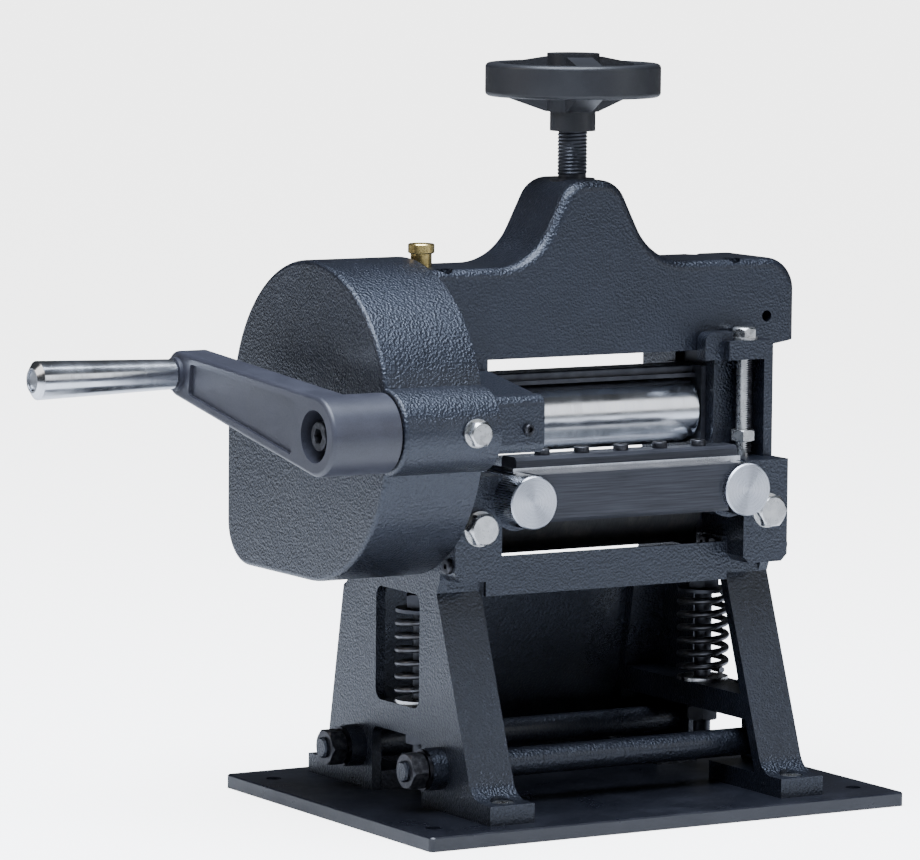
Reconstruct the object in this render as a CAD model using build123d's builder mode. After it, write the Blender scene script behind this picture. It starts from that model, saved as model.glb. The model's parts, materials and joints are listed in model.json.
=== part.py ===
from build123d import *
import os
from math import acos, atan2, cos, degrees, pi, radians, sin, sqrt, tan

# Hand-cranked leather splitting machine.
# X runs along the rollers, -X being the crank side. -Y faces the person at the machine. +Z is up.
# The origin is under the middle of the base plate. All sizes are in millimetres.

os.makedirs("parts", exist_ok=True)

# ---------------------------------------------------------------- rollers and nip
roller_half = 76.0
upper_radius = 20.0
lower_radius = 28.0
nip_gap = 2.0
axis_y = -3.0
lower_axis_y = 0.0
upper_axis_z = 222.0
lower_axis_z = upper_axis_z - upper_radius - nip_gap - lower_radius
sleeve_wall = 6.0
journal_radius = 8.0
bush_wall = 2.5
fit = 0.04  # radial running clearance

# ---------------------------------------------------------------- side frames
column_width = 30.0
roller_room = 4.5
column_inner = roller_half + roller_room
frame_outer = column_inner + column_width
leg_width = 28.5
web_thickness = 6.0
flange_thickness = 7.0
column_front = -46.0
column_back = 46.0
column_base_z = lower_axis_z - 34.0
column_top_z = upper_axis_z + 36.0
foot_reach = 103.0
foot_thickness = 11.0
leg_front_low = -83.4
leg_front_high = -42.6
leg_back_low = 79.3
leg_back_high = 60.0
leg_top_z = column_base_z - 8.0
floor_thickness = 14.0
shelf_top_z = 62.0
shelf_thickness = 14.0
window_half = 24.5
window_top_z = column_base_z - 11.0
arch_half = 28.0
arch_height = 38.0
cast_corner = 6.0
tie_bar_y = 46.0
tie_bar_z = 32.0
tie_bar_radius = 8.0
tie_boss_radius = 12.0
tie_boss_length = 9.5
stud_radius = 6.0
stud_reach = 24.0
foot_screw_x = frame_outer - 14.5
foot_screw_y = 92.0
foot_head = 8.0
foot_head_radius = 6.5
foot_sink = foot_head + 0.2
screw_radius_m8 = 4.0

# ---------------------------------------------------------------- rear panel
panel_thickness = 2.5
panel_screw_z = (34.0, leg_top_z - 18.0)

# ---------------------------------------------------------------- base plate
base_margin = 46.5
base_length = 2 * (frame_outer + base_margin)
base_width = 236.0
base_thickness = 8.0
base_corner = 3.0
mount_hole = 9.0
mount_span_x = base_length - 34.0
mount_span_y = 182.0

# ---------------------------------------------------------------- bearing blocks
slot_half = 14.0
block_half_height = 21.0
block_rise = 26.0
block_drop = 18.0
ledge_top_z = upper_axis_z - block_drop - 1.0
ledge_bottom_z = lower_axis_z + block_half_height + 0.5
slot_floor_z = lower_axis_z - block_half_height - 9.0
block_flange = 3.0
block_end_play = 0.2
block_back_gap = 0.3
journal_back_gap = 1.0

# ---------------------------------------------------------------- pressure springs
rod_x = frame_outer - 15.5
rod_radius = 5.0
rod_end_z = 28.0
rod_thread = 7.0
rod_nut_width = 17.0
spring_radius = 13.5
spring_wire = 4.0
spring_turns = 6
seat_thickness = 2.0
spring_top_z = slot_floor_z - 28.0

# ---------------------------------------------------------------- beam and height screw
beam_front = -29.0
beam_back = 23.0
beam_right = frame_outer + 27.0
beam_top_z = column_top_z + 51.5
crown_top_z = beam_top_z + 47.5
crown_half = 5.0
crown_radius = 18.0
valley_radius = 36.0
flank_angle = 63.0
beam_round = 6.0
cavity_half = 12.0
cavity_top_z = column_top_z + 32.0
screw_radius = 8.0
screw_neck_radius = 6.0
nut_radius = 13.0
nut_length = 32.0
crosshead_half = frame_outer - 8.5
crosshead_depth = 11.5
crosshead_z = column_top_z + 6.0
crosshead_height = 18.0
keeper_thickness = 3.0
keeper_screw_x = 18.0
beam_screw_y = 19.5
oil_cup_x = -frame_outer + 11.5
beam_screw_x = frame_outer - 14.5
beam_seat_z = column_top_z + 18.0

# ---------------------------------------------------------------- handwheel
wheel_radius = 50.0
wheel_bottom_z = crown_top_z + 46.5
wheel_top_z = wheel_bottom_z + 19.0
wheel_rim = 9.0
hub_bottom_z = crown_top_z + 27.0
hub_step_z = hub_bottom_z + 11.0
hub_top_z = wheel_top_z + 5.5
hub_radius = screw_radius + 5.0
hub_top_radius = screw_radius + 7.0
spindle_top_z = hub_top_z - 12.0
spoke_width = 15.0
spoke_count = 3
spoke_turn = 12.0

# ---------------------------------------------------------------- gear train
gear_module = 2.0
pinion_teeth = 15
gear_teeth = 70
tooth_play = 0.3
pressure_angle = 20.0
gear_inner_x = -frame_outer - 25.5
gear_width = 14.0
crank_rise = 5.5
gear_centres = gear_module * (pinion_teeth + gear_teeth) / 2
crank_y = axis_y - sqrt(gear_centres**2 - crank_rise**2)
crank_z = upper_axis_z + crank_rise
gear_tip = gear_module * (gear_teeth + 2) / 2
hollow_boss_bore = journal_radius + 6.0
hollow_boss_radius = hollow_boss_bore + 8.0
gear_bush_wall = 2.0
pin_circle = hollow_boss_radius + 11.0
pin_radius = 4.0
pin_count = 4
plate_play = 4.0  # room round each drive pin, more than the roller's lift
plate_gap = 4.5
drive_plate_thickness = 6.0

# ---------------------------------------------------------------- gear cover
cover_outer_x = -frame_outer - 60.5
cover_wall = 4.0
cover_radius = gear_tip + 17.5
cover_axis_z = upper_axis_z + 4.0
cover_back_y = axis_y + cover_radius + 5.5
cover_bottom_z = cover_axis_z - cover_radius
cover_corner = 24.0
case_plate = 3.0
case_gap = 0.2
case_screw_y = 36.0
case_screw_z = (upper_axis_z - 46.0, upper_axis_z + 28.0)
cover_screw_x = -frame_outer - 8.5
cover_screw_z = upper_axis_z - 21.0
cover_screw_y = 30.0

# ---------------------------------------------------------------- crank
shaft_radius = 8.0
crank_bush_radius = shaft_radius + 3.0
bearing_boss_radius = crank_bush_radius + 7.0
lobe_radius = bearing_boss_radius + 6.0
bearing_boss_x = -frame_outer - 23.5
arm_bush_end_x = -column_inner - 3.5
arm_block_front = crank_y - 19.18
arm_block_bottom = crank_z - 13.5
arm_block_top = crank_z + 18.5
cover_bolt_x = -frame_outer - 16.5
set_screw_x = -frame_outer + 19.5
crank_outer_x = cover_outer_x - 43.6
crank_hub_radius = 22.0
crank_hub_inner_x = cover_outer_x - 1.1
crank_arm_thickness = 20.0
crank_radius = 160.0
crank_angle = 7.2
crank_end_radius = 13.0
bolt_recess = 14.6
shaft_end_x = crank_outer_x + bolt_recess + 4.0
handle_length = 88.0
handle_inner_radius = 8.5
handle_outer_radius = 11.0
handle_pin_radius = 5.0
handle_collar = 2.4

# ---------------------------------------------------------------- knife
knife_rod_radius = 15.0
knife_rod_x = roller_half - 5.0
knife_rod_front = -82.0
knife_rod_back = -33.0
blade_top_z = upper_axis_z - upper_radius - 1.2
blade_thickness = 2.8
blade_edge_y = axis_y - 1.0
blade_back_y = -66.0
blade_half = roller_half - 0.5
blade_land = 0.3
bevel_length = 12.0
blade_screw_y = -58.0
blade_screw_count = 5
blade_screw_pitch = 0.342 * roller_half
knife_rod_z = blade_top_z - blade_thickness - knife_rod_radius
knife_block_front = -63.0
knife_block_top = ledge_top_z - 6.0
hook_bottom_z = knife_block_top - 10.0
pocket_bottom_z = hook_bottom_z - 3.0
holder_front = -78.0
holder_back = -66.0
holder_bottom = blade_top_z - 29.8
side_screw_y = -56.0
side_screw_z = column_base_z + 9.0
clamp_bolt_x = frame_outer - 14.7
clamp_bolt_z = column_base_z + 30.0
height_screw_x = frame_outer - 15.0
height_screw_y = -38.0
lock_nut_z = knife_block_top + 8.5
lug_bottom_z = column_top_z - 5.0
lug_top_z = column_top_z + 6.0

# ---------------------------------------------------------------- chute plate
chute_front = -46.0
chute_back = -14.0
chute_top_z = column_base_z + 3.0
chute_lip = 8.0
chute_screw_y = (-38.0, -27.0)
chute_screw_z = chute_top_z + 5.5


def circle_gap(radius):
    """Radius of a bore that runs on a shaft of this radius."""
    return radius + fit


def hex_screw(width, head, shank, length, cone=0.6):
    """A hexagon-head screw along Z: the head stands on Z = 0 and the shank goes down."""
    with BuildPart() as screw:
        with BuildSketch():
            RegularPolygon(radius=width / 2, side_count=6, major_radius=False)
        extrude(amount=head)
        with BuildSketch(Plane.XZ):
            with BuildLine():
                Polyline((0, 0), (width / 2 + 2, 0), (width / 2 + 2, head - 2.2),
                         (width / 2 - cone, head), (0, head), close=True)
            make_face()
        revolve(axis=Axis.Z, mode=Mode.INTERSECT)
        with BuildSketch():
            Circle(shank)
        extrude(amount=-length)
    return screw.part


def socket_screw(head_radius, head, shank, length, key):
    """A socket-head screw along Z: the head stands on Z = 0 and the shank goes down."""
    with BuildPart() as screw:
        with BuildSketch():
            Circle(head_radius)
        extrude(amount=head)
        chamfer(screw.edges().filter_by(GeomType.CIRCLE).group_by(Axis.Z)[-1], length=0.5)
        with BuildSketch(Plane.XY.offset(head)):
            RegularPolygon(radius=key / 2, side_count=6, major_radius=False)
        extrude(amount=-head / 2, mode=Mode.SUBTRACT)
        with BuildSketch():
            Circle(shank)
        extrude(amount=-length)
    return screw.part


def hex_nut(width, height, bore):
    """A hexagon nut along Z that stands on Z = 0."""
    with BuildPart() as nut:
        with BuildSketch():
            RegularPolygon(radius=width / 2, side_count=6, major_radius=False)
        extrude(amount=height)
        with BuildSketch(Plane.XZ):
            with BuildLine():
                Polyline((0, 0), (width / 2, 0), (width / 2 + 1.6, 1.2), (width / 2 + 1.6, height - 1.2),
                         (width / 2, height), (0, height), close=True)
            make_face()
        revolve(axis=Axis.Z, mode=Mode.INTERSECT)
        with BuildSketch():
            Circle(bore)
        extrude(amount=height, mode=Mode.SUBTRACT)
    return nut.part


def ring(outer, inner, height):
    """A plain ring or washer along Z that stands on Z = 0."""
    with BuildPart() as washer:
        with BuildSketch():
            Circle(outer)
            Circle(inner, mode=Mode.SUBTRACT)
        extrude(amount=height)
    return washer.part


def along_x(x, y, z):
    """A plane at this point whose normal points to +X, with its own X along Y."""
    return Plane(origin=(x, y, z), x_dir=(0, 1, 0), z_dir=(1, 0, 0))


def towards_front(x, y, z):
    """A plane at this point whose normal points to -Y."""
    return Plane(origin=(x, y, z), x_dir=(1, 0, 0), z_dir=(0, -1, 0))


def upright(x, y, z):
    """A plane at this point whose normal points up."""
    return Plane(origin=(x, y, z))


def tooth_half_angle(radius, teeth):
    """Half the angle that one tooth takes at this radius, on involute flanks."""
    pitch_radius = gear_module * teeth / 2
    base_radius = pitch_radius * cos(radians(pressure_angle))
    at_pitch = pi / (2 * teeth) - tooth_play / (2 * pitch_radius)
    inv_pitch = tan(radians(pressure_angle)) - radians(pressure_angle)
    if radius <= base_radius:
        return at_pitch + inv_pitch
    roll = acos(base_radius / radius)
    return at_pitch + inv_pitch - (tan(roll) - roll)


def gear_outline(teeth, start):
    """Corner points of a spur gear whose first tooth points along the angle start, in radians."""
    pitch_radius = gear_module * teeth / 2
    root = pitch_radius - 1.25 * gear_module
    tip = pitch_radius + gear_module
    radii = [root + (tip - root) * step / 4 for step in range(5)]
    points = []
    for tooth in range(teeth):
        middle = start + 2 * pi * tooth / teeth
        for side in (-1, 1):
            for radius in radii[::-side]:
                angle = middle + side * tooth_half_angle(radius, teeth)
                points.append((radius * cos(angle), radius * sin(angle)))
    return points


def save(builder, label):
    """Labels a finished piece and writes its file."""
    builder.part.label = label
    export_step(builder.part, f"parts/{label}.step")


# ================================================================ base plate
with BuildPart() as base_plate:
    with BuildSketch():
        RectangleRounded(base_length, base_width, base_corner)
    extrude(amount=base_thickness)
    chamfer(base_plate.faces().sort_by(Axis.Z)[-1].edges(), length=0.8)
    with GridLocations(mount_span_x, mount_span_y, 2, 2):
        Hole(mount_hole / 2)
    with Locations([(side * foot_screw_x, end * foot_screw_y, 0) for side in (-1, 1) for end in (-1, 1)]):
        Hole(screw_radius_m8)
save(base_plate, "base_plate")

# ================================================================ side frames
web_inner = frame_outer - web_thickness
leg_inner = frame_outer - leg_width
leg_foot_z = base_thickness + foot_thickness

panel_top_z = leg_top_z - 6
lean_back = (leg_back_low - leg_back_high) / (panel_top_z - leg_foot_z)
panel_seat = panel_thickness / sqrt(1 + lean_back**2)


def rear_face(z):
    """The y of the rear legs' back face at this height."""
    return leg_back_high + lean_back * (panel_top_z - z)


panel_normal = Vector(0, 1, lean_back).normalized()
panel_screw_x = frame_outer - leg_width / 2
panel_screw_planes = [
    Plane(origin=Vector(side * panel_screw_x, rear_face(z), z) + panel_normal * panel_seat,
          x_dir=(1, 0, 0), z_dir=panel_normal)
    for side in (-1, 1) for z in panel_screw_z]

with BuildPart() as frame_casting:
    # web, with its window and its arch
    with BuildSketch(Plane.YZ.offset(web_inner)) as web_sketch:
        with BuildLine():
            Polyline(
                (-foot_reach, base_thickness), (-foot_reach, leg_foot_z), (leg_front_low, leg_foot_z),
                (leg_front_high, leg_top_z), (column_front, column_base_z), (column_front, column_top_z),
                (column_back, column_top_z), (column_back, slot_floor_z), (leg_back_high, leg_top_z - 6),
                (leg_back_low, leg_foot_z), (foot_reach, leg_foot_z), (foot_reach, base_thickness),
                close=True)
        make_face()
        fillet(web_sketch.vertices().filter_by_position(Axis.Y, leg_foot_z - 1, leg_foot_z + 1)
               .sort_by(Axis.X)[1:3], radius=cast_corner)
    extrude(amount=web_thickness)
    # front and back flanges follow the sloping legs
    with BuildSketch(Plane.YZ.offset(leg_inner)):
        with BuildLine():
            Polyline((leg_front_low, leg_foot_z), (leg_front_high, leg_top_z), (leg_front_high, slot_floor_z),
                     (leg_front_high + flange_thickness, slot_floor_z),
                     (leg_front_high + flange_thickness, leg_top_z),
                     (leg_front_low + flange_thickness + 1, leg_foot_z), close=True)
        make_face()
    extrude(amount=leg_width)
    with BuildSketch(Plane.YZ.offset(leg_inner)):
        with BuildLine():
            Polyline((leg_back_low, leg_foot_z), (leg_back_high, leg_top_z - 6), (column_back, slot_floor_z),
                     (column_back - flange_thickness, slot_floor_z),
                     (leg_back_high - flange_thickness, leg_top_z - 8),
                     (leg_back_low - flange_thickness, leg_foot_z), close=True)
        make_face()
    extrude(amount=leg_width)
    # foot pads
    for near, far in ((-foot_reach, -arch_half), (arch_half, foot_reach)):
        with BuildSketch(Plane.XY.offset(base_thickness)):
            with Locations(((leg_inner + frame_outer) / 2, (near + far) / 2)):
                Rectangle(leg_width, far - near)
        extrude(amount=foot_thickness)
    # spring shelf and the floor under the lower bearing block
    with BuildSketch(Plane.XY.offset(shelf_top_z)):
        with Locations(((leg_inner + frame_outer) / 2, 1.5)):
            Rectangle(leg_width, 132)
    extrude(amount=-shelf_thickness)
    with BuildSketch(Plane.XY.offset(slot_floor_z)):
        with Locations(((leg_inner + frame_outer) / 2, (leg_front_high + column_back) / 2)):
            Rectangle(leg_width, column_back - leg_front_high)
    extrude(amount=-floor_thickness)
    # column
    with BuildSketch(Plane.XY.offset(column_base_z)):
        with Locations((frame_outer - column_width / 2, (column_front + column_back) / 2)):
            Rectangle(column_width, column_back - column_front)
    extrude(amount=column_top_z - column_base_z)
    # lug for the knife height screw
    with BuildSketch(Plane.XZ.offset(-column_front)):
        with Locations(((column_inner + frame_outer) / 2, (lug_bottom_z + lug_top_z) / 2)):
            Rectangle(column_width, lug_top_z - lug_bottom_z)
    extrude(amount=-15.0)
    # fillet where the front leg meets its foot
    with BuildSketch(Plane.YZ.offset(leg_inner)):
        with BuildLine():
            ThreePointArc((leg_front_low - 9.0, leg_foot_z), (leg_front_low - 1.6, leg_foot_z + 2.6),
                          (leg_front_low + 3.3, leg_foot_z + 9.0))
            Polyline((leg_front_low + 3.3, leg_foot_z + 9.0), (leg_front_low + 3.3, leg_foot_z),
                     (leg_front_low - 9.0, leg_foot_z))
        make_face()
    extrude(amount=leg_width)
    # outer edges of the front leg flange and the column
    fillet(frame_casting.edges().filter_by(Axis.Z)
           .filter_by_position(Axis.X, frame_outer - 0.1, frame_outer + 0.1)
           .filter_by_position(Axis.Y, column_back - 0.1, column_back + 0.1), radius=2.0)
    # window and arch in the web
    with BuildSketch(Plane.YZ.offset(web_inner)) as window_sketch:
        with Locations((0.5, (shelf_top_z + window_top_z) / 2)):
            Rectangle(2 * window_half, window_top_z - shelf_top_z)
        fillet(window_sketch.vertices(), radius=cast_corner)
    extrude(amount=web_thickness, mode=Mode.SUBTRACT)
    with BuildSketch(Plane.YZ.offset(web_inner)) as arch_sketch:
        with Locations((0.5, base_thickness + arch_height / 2)):
            Rectangle(2 * arch_half, arch_height)
        fillet(arch_sketch.vertices().group_by(Axis.Y)[-1], radius=cast_corner)
    extrude(amount=web_thickness, mode=Mode.SUBTRACT)
    # slots for the bearing blocks, open on the inner face
    with BuildSketch(Plane.XY.offset(ledge_top_z)):
        with Locations(((column_inner + web_inner) / 2, axis_y)):
            Rectangle(web_inner - column_inner, 2 * slot_half)
    extrude(amount=column_top_z - ledge_top_z, mode=Mode.SUBTRACT)
    with BuildSketch(Plane.XY.offset(slot_floor_z)):
        with Locations(((column_inner + web_inner) / 2, lower_axis_y)):
            Rectangle(web_inner - column_inner, 2 * slot_half)
    extrude(amount=ledge_bottom_z - slot_floor_z, mode=Mode.SUBTRACT)
    # front pocket for the knife height screw
    with BuildSketch(Plane.XY.offset(pocket_bottom_z)):
        with Locations(((column_inner + web_inner) / 2, column_front + 8.0)):
            Rectangle(web_inner - column_inner, 16.0)
    extrude(amount=lug_bottom_z - pocket_bottom_z, mode=Mode.SUBTRACT)
    # groove for the knife rod
    with BuildSketch(towards_front(knife_rod_x, column_front, knife_rod_z)):
        Circle(circle_gap(knife_rod_radius) + 0.3)
    extrude(amount=-16.0, mode=Mode.SUBTRACT)
    # screw and rod holes
    with BuildSketch(towards_front(clamp_bolt_x, column_front, clamp_bolt_z)):
        Circle(5.0)
    extrude(amount=-22.0, mode=Mode.SUBTRACT)
    with BuildSketch(upright(height_screw_x, height_screw_y, lug_top_z)):
        Circle(4.3)
    extrude(amount=lug_bottom_z - lug_top_z - 1, mode=Mode.SUBTRACT)
    with BuildSketch(upright(rod_x, lower_axis_y, slot_floor_z)):
        Circle(rod_radius + 0.5)
    extrude(amount=-(slot_floor_z - base_thickness), mode=Mode.SUBTRACT)
    with Locations([(foot_screw_x, end * foot_screw_y, leg_foot_z) for end in (-1, 1)]):
        CounterBoreHole(screw_radius_m8, foot_head_radius + 0.3, foot_sink, depth=foot_thickness)
    with BuildSketch(Plane.XY.offset(column_top_z)):
        with Locations([(beam_screw_x, axis_y + end * beam_screw_y) for end in (-1, 1)]):
            Circle(3.0)
    extrude(amount=-15.0, mode=Mode.SUBTRACT)
    for end in (-1, 1):
        with BuildSketch(along_x(web_inner, end * tie_bar_y, tie_bar_z)):
            Circle(stud_radius)
        extrude(amount=web_thickness, mode=Mode.SUBTRACT)
    # screw holes for the rear panel and the chute plate
    with BuildSketch([plane for plane in panel_screw_planes if plane.origin.X > 0]):
        Circle(2.5)
    extrude(amount=-7.5, mode=Mode.SUBTRACT)
    with BuildSketch([along_x(column_inner, y, chute_screw_z) for y in chute_screw_y]):
        Circle(2.5)
    extrude(amount=10.0, mode=Mode.SUBTRACT)

with BuildPart() as right_side_frame:
    add(frame_casting.part)
    # rounded inner shoulder of the lug, spot-faced round the height screw
    with BuildSketch(Plane.XZ.offset(-column_front - 6.0)) as shoulder_sketch:
        with Locations((column_inner + 0.5, lug_top_z - 3.0)):
            Rectangle(26.0, 16.0)
        fillet(shoulder_sketch.vertices().group_by(Axis.Y)[-1], radius=5.5)
    extrude(amount=-9.0)
    with BuildSketch(upright(height_screw_x, height_screw_y, lug_top_z)):
        Circle(8.8)
    extrude(amount=8.0, mode=Mode.SUBTRACT)
    with BuildSketch(upright(height_screw_x, height_screw_y, lug_top_z)):
        Circle(4.3)
    extrude(amount=lug_bottom_z - lug_top_z - 1, mode=Mode.SUBTRACT)
save(right_side_frame, "right_side_frame")

with BuildPart() as left_side_frame:
    mirror(frame_casting.part, about=Plane.YZ)
    # bosses for the nuts of the tie bars
    for end in (-1, 1):
        with BuildSketch(along_x(-frame_outer, end * tie_bar_y, tie_bar_z)):
            Circle(tie_boss_radius)
            Circle(stud_radius, mode=Mode.SUBTRACT)
        extrude(amount=-tie_boss_length)
    # arm that carries the crank shaft, with its gusset
    with BuildSketch(Plane.YZ.offset(-frame_outer)) as arm_sketch:
        with BuildLine():
            Polyline((column_front + 16.0, arm_block_bottom), (arm_block_front, arm_block_bottom),
                     (arm_block_front, arm_block_top), (arm_block_front + 12.0, arm_block_top),
                     (column_front, lug_bottom_z + 1), (column_front + 16.0, lug_bottom_z + 1), close=True)
        make_face()
        fillet(arm_sketch.vertices().sort_by(Axis.X)[:2], radius=cast_corner)
    extrude(amount=column_width)
    with BuildSketch(along_x(bearing_boss_x, crank_y, crank_z)):
        Circle(bearing_boss_radius)
    extrude(amount=-frame_outer - bearing_boss_x)
    # hollow boss that the drive gear runs on
    with BuildSketch(along_x(-frame_outer, axis_y, upper_axis_z)):
        Circle(hollow_boss_radius)
    extrude(amount=-(-frame_outer - gear_inner_x + gear_width + 1.0))
    with BuildSketch(along_x(gear_inner_x - gear_width - 1.0, axis_y, upper_axis_z + 1.0)):
        Circle(hollow_boss_bore)
    extrude(amount=-gear_inner_x + gear_width + 1.0 - web_inner, mode=Mode.SUBTRACT)
    # crank shaft bore, height screw hole, cover bolt hole and set screw hole
    with BuildSketch(along_x(bearing_boss_x, crank_y, crank_z)):
        Circle(crank_bush_radius)
    extrude(amount=arm_bush_end_x - bearing_boss_x, mode=Mode.SUBTRACT)
    with BuildSketch(upright(-height_screw_x, height_screw_y, lug_top_z)):
        Circle(4.6)
    extrude(amount=-60.0, mode=Mode.SUBTRACT)
    with BuildSketch(towards_front(cover_bolt_x, crank_y - bearing_boss_radius - 1, crank_z)):
        Circle(4.0)
    extrude(amount=-9.0, mode=Mode.SUBTRACT)
    with BuildSketch(towards_front(set_screw_x, arm_block_front, crank_z)):
        Circle(3.0)
    extrude(amount=-12.0, mode=Mode.SUBTRACT)
    # tapped holes for the case plate
    with BuildSketch([along_x(-frame_outer, y, z)
                      for y in (-case_screw_y, case_screw_y) for z in case_screw_z]):
        Circle(2.5)
    extrude(amount=5.5, mode=Mode.SUBTRACT)
save(left_side_frame, "left_side_frame")

# ================================================================ rear panel
with BuildPart() as rear_panel:
    with BuildSketch(Plane.YZ.offset(-frame_outer)):
        with BuildLine():
            low_z = leg_foot_z + panel_thickness + 3.0
            Polyline((rear_face(low_z), low_z), (rear_face(low_z) + panel_thickness, low_z),
                     (rear_face(panel_top_z) + panel_thickness, panel_top_z),
                     (rear_face(panel_top_z), panel_top_z), close=True)
        make_face()
    extrude(amount=2 * frame_outer)
    # skirt between the feet, down to just above the base plate
    with BuildSketch(Plane.XY.offset(base_thickness + 0.5)):
        with Locations((0, rear_face(leg_foot_z) + panel_thickness / 2)):
            Rectangle(2 * leg_inner - 1.0, panel_thickness)
    extrude(amount=leg_foot_z + panel_thickness + 4.0 - base_thickness)
    fillet(rear_panel.edges().filter_by(GeomType.LINE)
           .filter_by(lambda edge: abs(edge.center().X) > frame_outer - 0.1)
           .filter_by(lambda edge: 0.5 < edge.length < panel_thickness + 0.5)
           .group_by(Axis.Z)[-1], radius=2.0)
    with BuildSketch(panel_screw_planes):
        Circle(2.5)
    extrude(amount=-7.5, mode=Mode.SUBTRACT)
save(rear_panel, "rear_panel")

foot_screw = socket_screw(foot_head_radius, foot_head, screw_radius_m8,
                          foot_thickness - foot_sink + base_thickness - 1.0, 6.0)
with BuildPart() as foot_screws:
    with Locations([(side * foot_screw_x, end * foot_screw_y, leg_foot_z - foot_sink)
                    for side in (-1, 1) for end in (-1, 1)]):
        add(foot_screw)
save(foot_screws, "foot_screws")

# ================================================================ tie bars
with BuildPart() as tie_bars:
    for end in (-1, 1):
        with BuildSketch(along_x(-web_inner, end * tie_bar_y, tie_bar_z)):
            Circle(tie_bar_radius)
        extrude(amount=2 * web_inner)
        with BuildSketch(along_x(-frame_outer - stud_reach, end * tie_bar_y, tie_bar_z)):
            Circle(stud_radius)
        extrude(amount=2 * frame_outer + stud_reach - 0.5)
    chamfer(tie_bars.edges().filter_by(GeomType.CIRCLE).group_by(Axis.X)[0], length=1.0)
    chamfer(tie_bars.edges().filter_by(GeomType.CIRCLE).group_by(Axis.X)[-1], length=1.0)
save(tie_bars, "tie_bars")

tie_face = frame_outer + tie_boss_length
tie_nut = hex_nut(19.0, 10.0, stud_radius)
tie_washer = ring(11.5, stud_radius, 2.0)
tie_planes = [
    Plane(origin=(-tie_face, end * tie_bar_y, tie_bar_z), x_dir=(0, 1, 0), z_dir=(-1, 0, 0))
    for end in (-1, 1)]
with BuildPart() as tie_bar_nuts:
    with Locations(*[plane.offset(2.0) for plane in tie_planes]):
        add(tie_nut)
save(tie_bar_nuts, "tie_bar_nuts")

# ================================================================ lower roller and its carriage
journal_end = web_inner - journal_back_gap
with BuildPart() as lower_roller_core:
    with BuildSketch(along_x(-roller_half + 1.0, lower_axis_y, lower_axis_z)):
        Circle(lower_radius - sleeve_wall)
    extrude(amount=2 * roller_half - 2.0)
    with BuildSketch(along_x(-journal_end, lower_axis_y, lower_axis_z)):
        Circle(journal_radius)
    extrude(amount=2 * journal_end)
    chamfer(lower_roller_core.edges().filter_by(GeomType.CIRCLE).group_by(Axis.X)[0], length=1.0)
    chamfer(lower_roller_core.edges().filter_by(GeomType.CIRCLE).group_by(Axis.X)[-1], length=1.0)
save(lower_roller_core, "lower_roller_core")

with BuildPart() as lower_roller_sleeve:
    with BuildSketch(along_x(-roller_half + 1.0, lower_axis_y, lower_axis_z)):
        Circle(lower_radius)
        Circle(lower_radius - sleeve_wall, mode=Mode.SUBTRACT)
    extrude(amount=2 * roller_half - 2.0)
    chamfer(lower_roller_sleeve.edges().filter_by(GeomType.CIRCLE)
            .sort_by(SortBy.RADIUS)[-2:], length=0.8)
save(lower_roller_sleeve, "lower_roller_sleeve")



def bearing_block(side, y, z, drop, rise):
    """A bearing block in its column slot, with the thin flange that rides on the inner face."""
    inner_x = column_inner - block_end_play
    with BuildPart() as block:
        with BuildSketch(Plane.XY.offset(z - drop)):
            with Locations((side * (inner_x + web_inner - block_back_gap) / 2, y)):
                Rectangle(web_inner - block_back_gap - inner_x, 2 * (slot_half - fit))
        extrude(amount=drop + rise)
        with BuildSketch(Plane.XY.offset(z - drop)):
            with Locations((side * (inner_x - block_flange / 2), y)):
                Rectangle(block_flange, 2 * (slot_half + 5.0))
        extrude(amount=drop + rise)
        with BuildSketch(along_x(-frame_outer, y, z)):
            Circle(journal_radius + bush_wall)
        extrude(amount=2 * frame_outer, mode=Mode.SUBTRACT)
    return block.part


for side, label in ((-1, "lower_left_block"), (1, "lower_right_block")):
    with BuildPart() as lower_block:
        add(bearing_block(side, lower_axis_y, lower_axis_z, block_half_height, block_half_height))
        with BuildSketch(upright(side * rod_x, lower_axis_y, lower_axis_z - block_half_height)):
            Circle(rod_radius)
        extrude(amount=rod_thread, mode=Mode.SUBTRACT)
    save(lower_block, label)

bush_length = web_inner - block_back_gap - column_inner + block_end_play + block_flange
bush_inner_x = column_inner - block_end_play - block_flange


def journal_bushes(y, z):
    """The two bronze bushes of one roller."""
    bush = ring(journal_radius + bush_wall, circle_gap(journal_radius), bush_length)
    with BuildPart() as bushes:
        with Locations(along_x(bush_inner_x, y, z), along_x(-bush_inner_x - bush_length, y, z)):
            add(bush)
    return bushes.part


with BuildPart() as lower_bushes:
    add(journal_bushes(lower_axis_y, lower_axis_z))
save(lower_bushes, "lower_bushes")

rod_top_z = lower_axis_z - block_half_height + rod_thread
with BuildPart() as spring_rods:
    with BuildSketch(Plane.XY.offset(rod_end_z)):
        with Locations((-rod_x, lower_axis_y), (rod_x, lower_axis_y)):
            Circle(rod_radius)
    extrude(amount=rod_top_z - rod_end_z)
    chamfer(spring_rods.edges().filter_by(GeomType.CIRCLE).group_by(Axis.Z)[0], length=0.8)
save(spring_rods, "spring_rods")

rod_nut = hex_nut(rod_nut_width, 8.0, rod_radius)
spring_cap = ring(spring_radius + 1.5, rod_radius, seat_thickness)
with BuildPart() as spring_nuts:
    for side in (-1, 1):
        with Locations((side * rod_x, lower_axis_y, spring_top_z + seat_thickness),
                       (side * rod_x, lower_axis_y, shelf_top_z - shelf_thickness - 9.5)):
            add(rod_nut)
save(spring_nuts, "spring_nuts")
with BuildPart() as spring_caps:
    with Locations((-rod_x, lower_axis_y, spring_top_z), (rod_x, lower_axis_y, spring_top_z)):
        add(spring_cap)
save(spring_caps, "spring_caps")

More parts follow.
